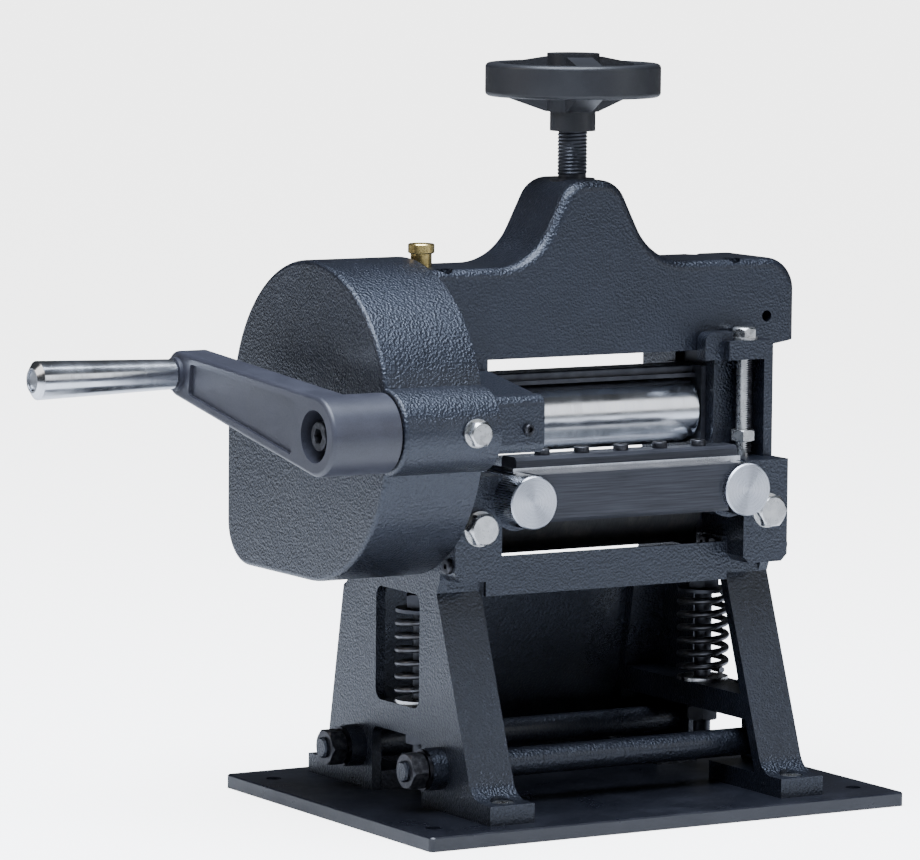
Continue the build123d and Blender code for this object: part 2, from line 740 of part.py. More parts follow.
spring_bottom_z = shelf_top_z + seat_thickness
spring_height = spring_top_z - spring_bottom_z - spring_wire
for side, label in ((-1, "left_spring"), (1, "right_spring")):
    with BuildPart() as spring:
        with BuildLine() as coil:
            Helix(pitch=spring_height / spring_turns, height=spring_height, radius=spring_radius,
                  center=(side * rod_x, lower_axis_y, spring_bottom_z + spring_wire / 2))
        with BuildSketch(Plane(origin=coil.line @ 0, z_dir=coil.line % 0)):
            Circle(spring_wire / 2 - 0.1)
        sweep(path=coil.line, is_frenet=True)
    save(spring, label)

# ================================================================ upper roller and its carriage
drive_plate_x = gear_inner_x - gear_width - plate_gap
with BuildPart() as upper_roller:
    with BuildSketch(along_x(-roller_half, axis_y, upper_axis_z)):
        Circle(upper_radius)
    extrude(amount=2 * roller_half)
    with BuildSketch(along_x(drive_plate_x - drive_plate_thickness - 4.0, axis_y, upper_axis_z)):
        Circle(journal_radius)
    extrude(amount=journal_end - drive_plate_x + drive_plate_thickness + 4.0)
    chamfer(upper_roller.edges().filter_by(GeomType.CIRCLE), length=0.6)
save(upper_roller, "upper_roller")

for side, label in ((-1, "upper_left_block"), (1, "upper_right_block")):
    with BuildPart() as upper_block:
        add(bearing_block(side, axis_y, upper_axis_z, block_drop, block_rise))
    save(upper_block, label)

with BuildPart() as upper_bushes:
    add(journal_bushes(axis_y, upper_axis_z))
save(upper_bushes, "upper_bushes")

stripper_bottom_z = upper_axis_z + upper_radius + 1.5
with BuildPart() as stripper_bar:
    with BuildSketch(Plane.XY.offset(stripper_bottom_z)):
        with Locations((0, axis_y)):
            Rectangle(2 * bush_inner_x, 18.0)
    extrude(amount=4.5)
    # lip that reaches down over the front of the roller
    lip_bottom_z = upper_axis_z + sqrt((upper_radius + 1.2)**2 - 9.0**2 + 0.5)
    with BuildSketch(Plane.XY.offset(stripper_bottom_z)):
        with Locations((0, axis_y - 9.0 - 1.5)):
            Rectangle(2 * bush_inner_x, 3.0)
    extrude(amount=lip_bottom_z - stripper_bottom_z)
    chamfer(stripper_bar.edges().filter_by(Axis.X).filter_by_position(
        Axis.Z, stripper_bottom_z + 1.0, stripper_bottom_z + 5.0), length=0.8)
save(stripper_bar, "stripper_bar")

block_top_z = upper_axis_z + block_rise
button_bottom_z = crosshead_z + 9.0
crosshead_top_z = crosshead_z + crosshead_height
with BuildPart() as crosshead:
    with BuildSketch(Plane.XY.offset(crosshead_z)):
        with Locations((0, axis_y)):
            Rectangle(2 * crosshead_half, 2 * crosshead_depth)
    extrude(amount=crosshead_height)
    with BuildSketch(Plane.XY.offset(block_top_z)):
        with Locations((17.0 - frame_outer, axis_y), (frame_outer - 17.0, axis_y)):
            Rectangle(17.0, 2 * crosshead_depth)
    extrude(amount=crosshead_z - block_top_z)
    with BuildSketch(upright(0, axis_y, crosshead_top_z)):
        Circle(circle_gap(screw_radius))
    extrude(amount=-(crosshead_top_z - button_bottom_z), mode=Mode.SUBTRACT)
    with BuildSketch(Plane.XY.offset(crosshead_top_z)):
        with Locations((-keeper_screw_x, axis_y), (keeper_screw_x, axis_y)):
            Circle(2.0)
    extrude(amount=-8.0, mode=Mode.SUBTRACT)
save(crosshead, "crosshead")

with BuildPart() as crosshead_keeper:
    with BuildSketch(Plane.XY.offset(crosshead_top_z)):
        with Locations((0, axis_y)):
            RectangleRounded(2 * keeper_screw_x + 14.0, 2 * crosshead_depth - 1.0, 2.0)
            Circle(circle_gap(screw_neck_radius), mode=Mode.SUBTRACT)
        with Locations((0, axis_y + crosshead_depth / 2)):
            Rectangle(2 * circle_gap(screw_neck_radius), crosshead_depth, mode=Mode.SUBTRACT)
        with Locations((-keeper_screw_x, axis_y), (keeper_screw_x, axis_y)):
            Circle(2.0, mode=Mode.SUBTRACT)
    extrude(amount=keeper_thickness)
save(crosshead_keeper, "crosshead_keeper")

with BuildPart() as keeper_screws:
    with BuildSketch(Plane.XY.offset(crosshead_top_z + keeper_thickness)):
        with Locations((-keeper_screw_x, axis_y), (keeper_screw_x, axis_y)):
            Circle(2.0)
    extrude(amount=-keeper_thickness - 8.0)
save(keeper_screws, "keeper_screws")

# ================================================================ beam
flank = radians(flank_angle)
crown_end = (crown_half + crown_radius * sin(flank), crown_top_z - crown_radius * (1 - cos(flank)))
valley_start_z = beam_top_z + valley_radius * (1 - cos(flank))
valley_start_x = crown_end[0] + (crown_end[1] - valley_start_z) / tan(flank)
valley_end_x = valley_start_x + valley_radius * sin(flank)

with BuildPart() as top_beam:
    with BuildSketch(Plane.XZ.offset(-beam_back)) as beam_sketch:
        with BuildLine():
            Polyline((valley_end_x, beam_top_z), (beam_right, beam_top_z), (beam_right, column_top_z + 4.0),
                     (frame_outer + 1.0, column_top_z), (-frame_outer, column_top_z),
                     (-frame_outer, beam_top_z),
                     (-valley_end_x, beam_top_z))
            for side in (-1, 1):
                RadiusArc((side * valley_end_x, beam_top_z), (side * valley_start_x, valley_start_z),
                          side * valley_radius)
                Line((side * valley_start_x, valley_start_z), (side * crown_end[0], crown_end[1]))
                RadiusArc((side * crown_end[0], crown_end[1]), (side * crown_half, crown_top_z),
                          -side * crown_radius)
            Line((-crown_half, crown_top_z), (crown_half, crown_top_z))
        make_face()
        fillet(beam_sketch.vertices().sort_by(Axis.X)[-2:].sort_by(Axis.Y)[-1:], radius=19.0)
    extrude(amount=beam_back - beam_front)
    upper_edges = top_beam.edges().filter_by_position(Axis.Z, column_top_z + 5.0, crown_top_z + 1.0)
    front_edges = upper_edges.filter_by_position(Axis.Y, beam_front - 0.1, beam_front + 0.1)
    back_edges = upper_edges.filter_by_position(Axis.Y, beam_back - 0.1, beam_back + 0.1)
    fillet([edge for edge in front_edges + back_edges if edge.center().X > -frame_outer + 1.0],
           radius=beam_round)
    # cavity for the crosshead, open below
    with BuildSketch(Plane.XY.offset(column_top_z)):
        with Locations((0, axis_y)):
            RectangleRounded(2 * crosshead_half + 4.0, 2 * cavity_half, 2.0)
    extrude(amount=cavity_top_z - column_top_z, mode=Mode.SUBTRACT)
    # seat of the screw nut and the way down to the cavity
    with BuildSketch(upright(0, axis_y, crown_top_z)):
        Circle(nut_radius)
    extrude(amount=-nut_length, mode=Mode.SUBTRACT)
    with BuildSketch(upright(0, axis_y, crown_top_z - nut_length)):
        Circle(screw_radius + 1.0)
    extrude(amount=-(crown_top_z - nut_length - cavity_top_z), mode=Mode.SUBTRACT)
    # counterbored holes for the screws into the columns
    for side in (-1, 1):
        for end in (-1, 1):
            with BuildSketch(upright(side * beam_screw_x, axis_y + end * beam_screw_y, beam_top_z)):
                Circle(5.3)
            extrude(amount=-(beam_top_z - beam_seat_z), mode=Mode.SUBTRACT)
            with BuildSketch(upright(side * beam_screw_x, axis_y + end * beam_screw_y, beam_seat_z)):
                Circle(3.0)
            extrude(amount=-(beam_seat_z - column_top_z), mode=Mode.SUBTRACT)
    # oil hole to the left bearing, and the small hole near the right end
    with BuildSketch(upright(oil_cup_x, axis_y, beam_top_z)):
        Circle(3.0)
    extrude(amount=-(beam_top_z - cavity_top_z), mode=Mode.SUBTRACT)
    with BuildSketch(towards_front(beam_right - 20.5, beam_front, beam_seat_z)):
        Circle(3.2)
    extrude(amount=-14.0, mode=Mode.SUBTRACT)
save(top_beam, "top_beam")

beam_screw = socket_screw(5.0, 6.0, 3.0, beam_seat_z - column_top_z + 14.0, 5.0)
with BuildPart() as beam_screws:
    with Locations([(side * beam_screw_x, axis_y + end * beam_screw_y, beam_seat_z)
                    for side in (-1, 1) for end in (-1, 1)]):
        add(beam_screw)
save(beam_screws, "beam_screws")

with BuildPart() as screw_nut:
    add(ring(nut_radius, circle_gap(screw_radius), nut_length).moved(
        Location((0, axis_y, crown_top_z - nut_length))))
save(screw_nut, "screw_nut")

# ================================================================ handwheel and its screw
with BuildPart() as height_spindle:
    with BuildSketch(upright(0, axis_y, crosshead_top_z + keeper_thickness + 0.2)):
        Circle(screw_radius)
    extrude(amount=spindle_top_z - crosshead_top_z - keeper_thickness - 0.2)
    with BuildSketch(upright(0, axis_y, button_bottom_z + 0.1)):
        Circle(screw_neck_radius)
    extrude(amount=crosshead_top_z + keeper_thickness + 0.2 - button_bottom_z - 0.1)
    with BuildSketch(upright(0, axis_y, button_bottom_z + 0.1)):
        Circle(screw_radius)
    extrude(amount=crosshead_top_z - 0.1 - button_bottom_z - 0.1)
save(height_spindle, "height_spindle")

with BuildPart() as handwheel:
    with BuildSketch(Plane(origin=(0, axis_y, 0), x_dir=(1, 0, 0), z_dir=(0, -1, 0))) as rim_sketch:
        with Locations((wheel_radius - wheel_rim / 2, (wheel_bottom_z + wheel_top_z) / 2)):
            RectangleRounded(wheel_rim, wheel_top_z - wheel_bottom_z, 2.6)
    revolve(axis=Axis((0, axis_y, 0), (0, 0, 1)))
    with BuildSketch(upright(0, axis_y, hub_bottom_z)):
        Circle(hub_radius)
    extrude(amount=hub_step_z - hub_bottom_z)
    with BuildSketch(upright(0, axis_y, hub_step_z)):
        Circle(hub_top_radius)
    extrude(amount=hub_top_z - hub_step_z)
    reach = wheel_radius - wheel_rim / 2
    for spoke in range(spoke_count):
        turn = spoke_turn + 360.0 * spoke / spoke_count
        spoke_plane = Plane(origin=(0, axis_y, 0), x_dir=(cos(radians(turn)), sin(radians(turn)), 0),
                            z_dir=(sin(radians(turn)), -cos(radians(turn)), 0))
        with BuildSketch(spoke_plane):
            with BuildLine():
                Polyline((0, hub_step_z), (hub_top_radius - 1.0, hub_step_z), (reach, wheel_bottom_z + 1.5),
                         (reach, wheel_top_z - 1.5), (hub_top_radius + 1.0, hub_top_z - 2.0),
                         (0, hub_top_z - 2.0), close=True)
            make_face()
        extrude(amount=spoke_width / 2, both=True)
    with BuildSketch(upright(0, axis_y, hub_bottom_z)):
        Circle(screw_radius)
    extrude(amount=spindle_top_z - hub_bottom_z, mode=Mode.SUBTRACT)
    with BuildSketch(upright(0, axis_y, hub_top_z)):
        Circle(9.0)
    extrude(amount=-6.0, mode=Mode.SUBTRACT)
save(handwheel, "handwheel")

# ================================================================ gear train
toward_pinion = atan2(crank_z - upper_axis_z, crank_y - axis_y)
gear_start = toward_pinion + pi / gear_teeth
pinion_start = toward_pinion + pi
gear_bore = hollow_boss_radius + gear_bush_wall

with BuildPart() as drive_gear:
    with BuildSketch(along_x(gear_inner_x - gear_width, axis_y, upper_axis_z)) as gear_sketch:
        with BuildLine():
            Polyline(*gear_outline(gear_teeth, gear_start), close=True)
        make_face()
        Circle(gear_bore, mode=Mode.SUBTRACT)
    extrude(amount=gear_width)
    # web between hub and rim is thinner on both faces
    for face_x, inward in ((gear_inner_x - gear_width, 1), (gear_inner_x, -1)):
        with BuildSketch(along_x(face_x, axis_y, upper_axis_z)):
            Circle(gear_tip - 12.0)
            Circle(pin_circle + 8.0, mode=Mode.SUBTRACT)
        extrude(amount=inward * 4.0, mode=Mode.SUBTRACT)
    with BuildSketch(along_x(gear_inner_x - gear_width, axis_y, upper_axis_z)):
        with PolarLocations(pin_circle, pin_count):
            Circle(pin_radius)
    extrude(amount=gear_width, mode=Mode.SUBTRACT)
save(drive_gear, "drive_gear")

with BuildPart() as gear_bush:
    with Locations(along_x(gear_inner_x - gear_width, axis_y, upper_axis_z)):
        add(ring(gear_bore, circle_gap(hollow_boss_radius), gear_width))
save(gear_bush, "gear_bush")

with BuildPart() as drive_pins:
    with BuildSketch(along_x(drive_plate_x - drive_plate_thickness, axis_y, upper_axis_z)):
        with PolarLocations(pin_circle, pin_count):
            Circle(pin_radius)
    extrude(amount=gear_inner_x - drive_plate_x + drive_plate_thickness)
save(drive_pins, "drive_pins")

with BuildPart() as drive_plate:
    with BuildSketch(along_x(drive_plate_x - drive_plate_thickness, axis_y, upper_axis_z)):
        Circle(pin_circle + pin_radius + plate_play + 5.0)
        Circle(journal_radius, mode=Mode.SUBTRACT)
        with PolarLocations(pin_circle, pin_count):
            Circle(pin_radius + plate_play, mode=Mode.SUBTRACT)
    extrude(amount=drive_plate_thickness)
save(drive_plate, "drive_plate")

with BuildPart() as roller_retaining_ring:
    with Locations(along_x(drive_plate_x - drive_plate_thickness - 2.0, axis_y, upper_axis_z)):
        add(ring(journal_radius + 3.0, journal_radius, 1.5))
save(roller_retaining_ring, "roller_retaining_ring")

with BuildPart() as pinion:
    with BuildSketch(along_x(gear_inner_x - gear_width, crank_y, crank_z)):
        with BuildLine():
            Polyline(*gear_outline(pinion_teeth, pinion_start), close=True)
        make_face()
        Circle(shaft_radius, mode=Mode.SUBTRACT)
    extrude(amount=gear_width)
save(pinion, "pinion")

# ================================================================ gear cover and case plate


def cover_outline(inset):
    """The cover's outline, this much inside its outer surface."""
    with BuildSketch() as outline:
        with Locations((axis_y, cover_axis_z)):
            Circle(cover_radius - inset)
        with BuildSketch(mode=Mode.PRIVATE) as corner:
            with Locations(((axis_y + cover_back_y - inset) / 2,
                            (cover_bottom_z + inset + cover_axis_z) / 2)):
                Rectangle(cover_back_y - inset - axis_y, cover_axis_z - cover_bottom_z - inset)
            fillet(corner.vertices().sort_by(Axis.X)[-2:].sort_by(Axis.Y)[:1], radius=cover_corner - inset)
        add(corner.sketch)
        with Locations((crank_y, crank_z)):
            Circle(lobe_radius - inset)
    return outline.sketch


with BuildPart() as gear_cover:
    with BuildSketch(Plane.YZ.offset(cover_outer_x)):
        add(cover_outline(0.0))
    extrude(amount=-frame_outer - cover_outer_x)
    fillet(gear_cover.faces().sort_by(Axis.X)[0].edges(), radius=2.5)
    with BuildSketch(Plane.YZ.offset(cover_outer_x + cover_wall)):
        add(cover_outline(cover_wall))
    extrude(amount=-frame_outer - cover_outer_x, mode=Mode.SUBTRACT)
    # boss and bore of the outer crank bush
    with BuildSketch(along_x(cover_outer_x + cover_wall, crank_y, crank_z)):
        Circle(crank_bush_radius + 4.0)
    extrude(amount=8.0)
    with BuildSketch(along_x(cover_outer_x, crank_y, crank_z)):
        Circle(crank_bush_radius)
    extrude(amount=cover_wall + 8.0, mode=Mode.SUBTRACT)
    # holes for the front bolt and the back and bottom screws
    with BuildSketch(towards_front(cover_bolt_x, crank_y - lobe_radius - 1.0, crank_z)):
        Circle(4.2)
    extrude(amount=-8.0, mode=Mode.SUBTRACT)
    with BuildSketch(towards_front(cover_screw_x, cover_back_y + 1.0, cover_screw_z)):
        Circle(2.5)
    extrude(amount=8.0, mode=Mode.SUBTRACT)
    with BuildSketch(upright(cover_screw_x, cover_screw_y, cover_bottom_z - 1.0)):
        Circle(2.5)
    extrude(amount=8.0, mode=Mode.SUBTRACT)
save(gear_cover, "gear_cover")

with BuildPart() as gear_case_plate:
    with BuildSketch(Plane.YZ.offset(-frame_outer - case_plate)):
        add(cover_outline(cover_wall + case_gap))
        with Locations((axis_y, upper_axis_z)):
            Circle(hollow_boss_radius, mode=Mode.SUBTRACT)
        with Locations((crank_y, crank_z)):
            Circle(bearing_boss_radius, mode=Mode.SUBTRACT)
        with Locations([(y, z) for y in (-case_screw_y, case_screw_y) for z in case_screw_z]):
            Circle(2.5, mode=Mode.SUBTRACT)
    extrude(amount=case_plate)
    # lugs that the cover's screws go into
    lug_x = -frame_outer - case_plate
    with BuildSketch(Plane.YZ.offset(lug_x)):
        with Locations((cover_back_y - cover_wall - case_gap - 5.0, cover_screw_z)):
            Rectangle(10.0, 14.0)
        with Locations((cover_screw_y, cover_bottom_z + cover_wall + case_gap + 5.0)):
            Rectangle(14.0, 10.0)
    extrude(amount=-11.0)
    with BuildSketch(towards_front(cover_screw_x, cover_back_y, cover_screw_z)):
        Circle(2.5)
    extrude(amount=13.0, mode=Mode.SUBTRACT)
    with BuildSketch(upright(cover_screw_x, cover_screw_y, cover_bottom_z)):
        Circle(2.5)
    extrude(amount=13.0, mode=Mode.SUBTRACT)
save(gear_case_plate, "gear_case_plate")


# ================================================================ crank
with BuildPart() as crank_shaft:
    with BuildSketch(along_x(shaft_end_x, crank_y, crank_z)):
        Circle(shaft_radius)
    extrude(amount=arm_bush_end_x - 2.0 - shaft_end_x)
    with BuildSketch(along_x(shaft_end_x, crank_y, crank_z)):
        Circle(5.0)
    extrude(amount=24.0, mode=Mode.SUBTRACT)
    chamfer(crank_shaft.edges().filter_by(GeomType.CIRCLE).group_by(Axis.X)[-1], length=0.8)
save(crank_shaft, "crank_shaft")

with BuildPart() as crank_arm_bush:
    with Locations(along_x(bearing_boss_x, crank_y, crank_z)):
        add(ring(crank_bush_radius, circle_gap(shaft_radius), arm_bush_end_x - bearing_boss_x - 1.0))
save(crank_arm_bush, "crank_arm_bush")

with BuildPart() as crank_cover_bush:
    with Locations(along_x(cover_outer_x - 0.6, crank_y, crank_z)):
        add(ring(crank_bush_radius, circle_gap(shaft_radius), cover_wall + 8.6))
save(crank_cover_bush, "crank_cover_bush")

crank_plane = Plane(origin=(crank_outer_x, crank_y, crank_z),
                    x_dir=(0, cos(radians(crank_angle)), sin(radians(crank_angle))), z_dir=(1, 0, 0))
arm_lean = (crank_hub_radius - crank_end_radius) / crank_radius
with BuildPart() as crank_arm:
    with BuildSketch(crank_plane):
        Circle(crank_hub_radius)
        with Locations((crank_radius, 0)):
            Circle(crank_end_radius)
        make_hull()
    extrude(amount=crank_arm_thickness)
    fillet(crank_arm.faces().sort_by(Axis.X)[0].edges(), radius=2.4)
    fillet(crank_arm.faces().sort_by(Axis.X)[-1].edges(), radius=2.0)
    with BuildSketch(crank_plane.offset(crank_arm_thickness - 3.0)):
        Circle(crank_hub_radius)
    extrude(amount=crank_hub_inner_x - crank_outer_x - crank_arm_thickness + 3.0)
    # long shallow recess between hub and handle
    recess_near = 24.0
    recess_far = crank_radius - 15.0
    near_half = crank_hub_radius - arm_lean * recess_near - 5.0
    far_half = crank_hub_radius - arm_lean * recess_far - 5.0
    with BuildSketch(crank_plane) as recess_sketch:
        with BuildLine():
            Polyline((recess_near, -near_half), (recess_far, -far_half), (recess_far, far_half),
                     (recess_near, near_half), close=True)
        make_face()
        fillet(recess_sketch.vertices(), radius=2.0)
    extrude(amount=2.2, mode=Mode.SUBTRACT)
    # bolt recess, bolt hole and shaft socket
    with BuildSketch(crank_plane):
        Circle(14.5)
    extrude(amount=bolt_recess, mode=Mode.SUBTRACT)
    with BuildSketch(crank_plane):
        Circle(5.0)
    extrude(amount=22.0, mode=Mode.SUBTRACT)
    with BuildSketch(crank_plane.offset(shaft_end_x - crank_outer_x)):
        Circle(shaft_radius)
    extrude(amount=30.0, mode=Mode.SUBTRACT)
    # collar and hole of the handle pin
    with BuildSketch(crank_plane):
        with Locations((crank_radius, 0)):
            Circle(9.5)
    extrude(amount=-handle_collar)
    with BuildSketch(crank_plane.offset(-handle_collar)):
        with Locations((crank_radius, 0)):
            Circle(handle_pin_radius)
    extrude(amount=crank_arm_thickness + handle_collar, mode=Mode.SUBTRACT)
save(crank_arm, "crank_arm")

crank_out = Plane(origin=(crank_outer_x + bolt_recess, crank_y, crank_z), x_dir=(0, 1, 0), z_dir=(-1, 0, 0))
with BuildPart() as crank_bolt:
    with Locations(crank_out.offset(2.0)):
        add(socket_screw(8.0, 10.0, 5.0, 26.0, 8.0))
    with Locations(crank_out):
        add(ring(12.0, 5.0, 1.99))
save(crank_bolt, "crank_bolt")

handle_y = crank_y + crank_radius * cos(radians(crank_angle))
handle_z = crank_z + crank_radius * sin(radians(crank_angle))
handle_inner_x = crank_outer_x - handle_collar - 0.3
handle_outer_x = handle_inner_x - handle_length
with BuildPart() as handle_pin:
    with BuildSketch(along_x(handle_outer_x + 4.0, handle_y, handle_z)):
        Circle(handle_pin_radius)
    extrude(amount=crank_outer_x + crank_arm_thickness - handle_outer_x - 4.0)
    with BuildSketch(along_x(handle_outer_x + 1.2, handle_y, handle_z)):
        Circle(6.0)
    extrude(amount=2.8)
    chamfer(handle_pin.edges().filter_by(GeomType.CIRCLE).group_by(Axis.X)[0], length=0.8)
save(handle_pin, "handle_pin")

with BuildPart() as handle_grip:
    with BuildSketch(Plane(origin=(0, handle_y, handle_z), x_dir=(1, 0, 0), z_dir=(0, -1, 0))):
        with BuildLine():
            Polyline((handle_inner_x, circle_gap(handle_pin_radius)),
                     (handle_inner_x, handle_inner_radius - 0.8),
                     (handle_inner_x - 0.8, handle_inner_radius), (handle_outer_x + 3.0, handle_outer_radius),
                     (handle_outer_x, handle_outer_radius - 4.0), (handle_outer_x, 6.0 + fit),
                     (handle_outer_x + 4.1, 6.0 + fit),
                     (handle_outer_x + 4.1, circle_gap(handle_pin_radius)), close=True)
        make_face()
    revolve(axis=Axis((0, handle_y, handle_z), (1, 0, 0)))
save(handle_grip, "handle_grip")

# ================================================================ knife blocks
block_inner_ring = knife_rod_radius + 2.6


def knife_block(side):
    """The block on one column's front face that guides one knife rod."""
    with BuildPart() as block:
        with BuildSketch(Plane.XZ.offset(-column_front)) as block_sketch:
            with Locations((side * (column_inner + frame_outer) / 2, (column_base_z + knife_block_top) / 2)):
                Rectangle(column_width, knife_block_top - column_base_z)
            chamfer(block_sketch.vertices().group_by(Axis.Y)[0], length=4.0)
            with Locations((side * knife_rod_x, knife_rod_z)):
                Circle(block_inner_ring)
            with Locations((side * knife_rod_x, knife_rod_z + 5.0 + 20.0)):
                Rectangle(2 * (column_inner - knife_rod_x), 40.0, mode=Mode.SUBTRACT)
            with Locations((side * (knife_rod_x - 20.0), knife_rod_z + 5.0 + 20.0)):
                Rectangle(40.0, 40.0, mode=Mode.SUBTRACT)
        extrude(amount=column_front - knife_block_front)
        with BuildSketch(Plane.XY.offset(hook_bottom_z)):
            with Locations((side * (column_inner + web_inner) / 2, column_front + 7.3)):
                Rectangle(web_inner - column_inner - 1.0, 14.6)
        extrude(amount=knife_block_top - hook_bottom_z)
        with BuildSketch(towards_front(side * knife_rod_x, knife_block_front - 1.0, knife_rod_z)):
            Circle(circle_gap(knife_rod_radius))
        extrude(amount=-40.0, mode=Mode.SUBTRACT)
        with BuildSketch(towards_front(side * clamp_bolt_x, knife_block_front - 1.0, clamp_bolt_z)):
            Circle(5.0)
        extrude(amount=-20.0, mode=Mode.SUBTRACT)
        with BuildSketch(upright(side * height_screw_x, height_screw_y, knife_block_top + 1.0)):
            Circle(4.0)
        extrude(amount=-12.0, mode=Mode.SUBTRACT)
        with BuildSketch(Plane(origin=(side * (frame_outer + 1.0), side_screw_y, side_screw_z),
                               x_dir=(0, 1, 0), z_dir=(-side, 0, 0))):
            Circle(2.5)
        extrude(amount=9.0, mode=Mode.SUBTRACT)
    return block.part


for side, label in ((-1, "left_knife_block"), (1, "right_knife_block")):
    with BuildPart() as one_block:
        add(knife_block(side))
    save(one_block, label)

cover_bolt_seat = crank_y - lobe_radius
with BuildPart() as hex_bolts:
    with Locations(*[towards_front(side * clamp_bolt_x, knife_block_front - 1.8, clamp_bolt_z)
                     for side in (-1, 1)]):
        add(hex_screw(17.0, 6.4, 5.0, 38.0))
    with Locations(*[upright(side * height_screw_x, height_screw_y, lug_top_z + 1.5) for side in (-1, 1)]):
        add(hex_screw(13.0, 5.5, 4.0, lug_top_z + 0.5 - hook_bottom_z))
    with Locations(towards_front(cover_bolt_x, cover_bolt_seat - 1.6, crank_z)):
        add(hex_screw(13.0, 5.5, 4.0, 13.0))
save(hex_bolts, "hex_bolts")
with BuildPart() as height_lock_nuts:
    with Locations(*[upright(side * height_screw_x, height_screw_y, lock_nut_z) for side in (-1, 1)]):
        add(hex_nut(13.0, 6.5, 4.0))
save(height_lock_nuts, "height_lock_nuts")
# ================================================================ knife carrier
blade_bottom_z = blade_top_z - blade_thickness
blade_screw_points = [((step - (blade_screw_count - 1) / 2) * blade_screw_pitch, blade_screw_y)
                      for step in range(blade_screw_count)]
with BuildPart() as knife_rods:
    with BuildSketch(Plane.XZ.offset(-knife_rod_back)):
        with Locations((-knife_rod_x, knife_rod_z), (knife_rod_x, knife_rod_z)):
            Circle(knife_rod_radius)
    extrude(amount=knife_rod_back - knife_rod_front)
    chamfer(knife_rods.edges().filter_by(GeomType.CIRCLE), length=0.8)
save(knife_rods, "knife_rods")

table_back = -42.0
with BuildPart() as knife_holder:
    with BuildSketch(Plane.XZ.offset(-holder_back)):
        with Locations((0, (holder_bottom + blade_bottom_z) / 2)):
            Rectangle(2 * knife_rod_x - 10.0, blade_bottom_z - holder_bottom)
    extrude(amount=holder_back - holder_front)
    with BuildSketch(Plane.XY.offset(blade_bottom_z)):
        with Locations((0, (holder_back + table_back) / 2)):
            Rectangle(2 * (knife_rod_x - knife_rod_radius - 0.4), table_back - holder_back)
    extrude(amount=-6.0)
    chamfer(knife_holder.edges().filter_by(Axis.X).group_by(Axis.Z)[0], length=2.0)
    with BuildSketch(Plane.XZ.offset(-holder_back)):
        with Locations((-knife_rod_x, knife_rod_z), (knife_rod_x, knife_rod_z)):
            Circle(knife_rod_radius)
    extrude(amount=holder_back - holder_front, mode=Mode.SUBTRACT)
    with BuildSketch(Plane.XY.offset(blade_bottom_z)):
        with Locations(blade_screw_points):
            Circle(2.5)
    extrude(amount=-6.0, mode=Mode.SUBTRACT)
save(knife_holder, "knife_holder")

with BuildPart() as blade:
    with BuildSketch(Plane.YZ.offset(-blade_half)):
        with BuildLine():
            Polyline((blade_back_y, blade_bottom_z), (blade_back_y, blade_top_z), (blade_edge_y, blade_top_z),
                     (blade_edge_y, blade_top_z - blade_land), (blade_edge_y - bevel_length, blade_bottom_z),
                     close=True)
        make_face()
    extrude(amount=2 * blade_half)
    with BuildSketch(Plane.XY.offset(blade_top_z)):
        with Locations(blade_screw_points):
            Circle(2.5)
    extrude(amount=-blade_thickness, mode=Mode.SUBTRACT)
save(blade, "blade")

clamp_thickness = 6.0
with BuildPart() as blade_clamp:
    with BuildSketch(Plane.XY.offset(blade_top_z)):
        with Locations((0, blade_screw_y)):
            Rectangle(2 * blade_half - 4.0, 16.0)
        with Locations(blade_screw_points):
            Circle(2.5, mode=Mode.SUBTRACT)
    extrude(amount=clamp_thickness)
    chamfer(blade_clamp.edges().filter_by(Axis.X).group_by(Axis.Z)[-1], length=2.0)
save(blade_clamp, "blade_clamp")

with BuildPart() as blade_screws:
    with Locations([(x, y, blade_top_z + clamp_thickness) for x, y in blade_screw_points]):
        add(socket_screw(4.4, 3.4, 2.5, clamp_thickness + blade_thickness + 5.5, 4.0))
save(blade_screws, "blade_screws")

# ================================================================ chute plate under the lower roller
with BuildPart() as chute_plate:
    with BuildSketch(Plane.YZ.offset(-column_inner)):
        with BuildLine():
            Polyline((chute_front, chute_top_z - 14.0), (chute_front + 2.5, chute_top_z - 14.0),
                     (chute_front + 2.5, chute_top_z - 2.6),
                     (chute_back, chute_top_z - 2.6), (chute_back, chute_top_z),
                     (chute_front + 2.5, chute_top_z), (chute_front + 2.5, chute_top_z + chute_lip),
                     (chute_front, chute_top_z + chute_lip),
                     close=True)
        make_face()
    extrude(amount=2 * column_inner)
    for side in (-1, 1):
        with BuildSketch(Plane(origin=(side * column_inner, 0, 0), x_dir=(0, 1, 0), z_dir=(1, 0, 0))):
            with Locations((-33.0, chute_top_z + 5.0)):
                Rectangle(24.0, 12.0)
        extrude(amount=-side * 2.6)
        with BuildSketch([Plane(origin=(side * (column_inner - 3.0), y, chute_screw_z), x_dir=(0, 1, 0),
                                z_dir=(side, 0, 0)) for y in chute_screw_y]):
            Circle(2.5)
        extrude(amount=4.0, mode=Mode.SUBTRACT)
save(chute_plate, "chute_plate")

# ================================================================ oil cup
with BuildPart() as oil_cup_body:
    with BuildSketch(upright(oil_cup_x, axis_y, beam_top_z - 8.0)):
        Circle(3.0)
    extrude(amount=8.0)
    with BuildSketch(upright(oil_cup_x, axis_y, beam_top_z)):
        Circle(6.0)
    extrude(amount=7.5)
    with BuildSketch(upright(oil_cup_x, axis_y, beam_top_z + 7.5)):
        Circle(4.0)
    extrude(amount=4.0)
save(oil_cup_body, "oil_cup_body")

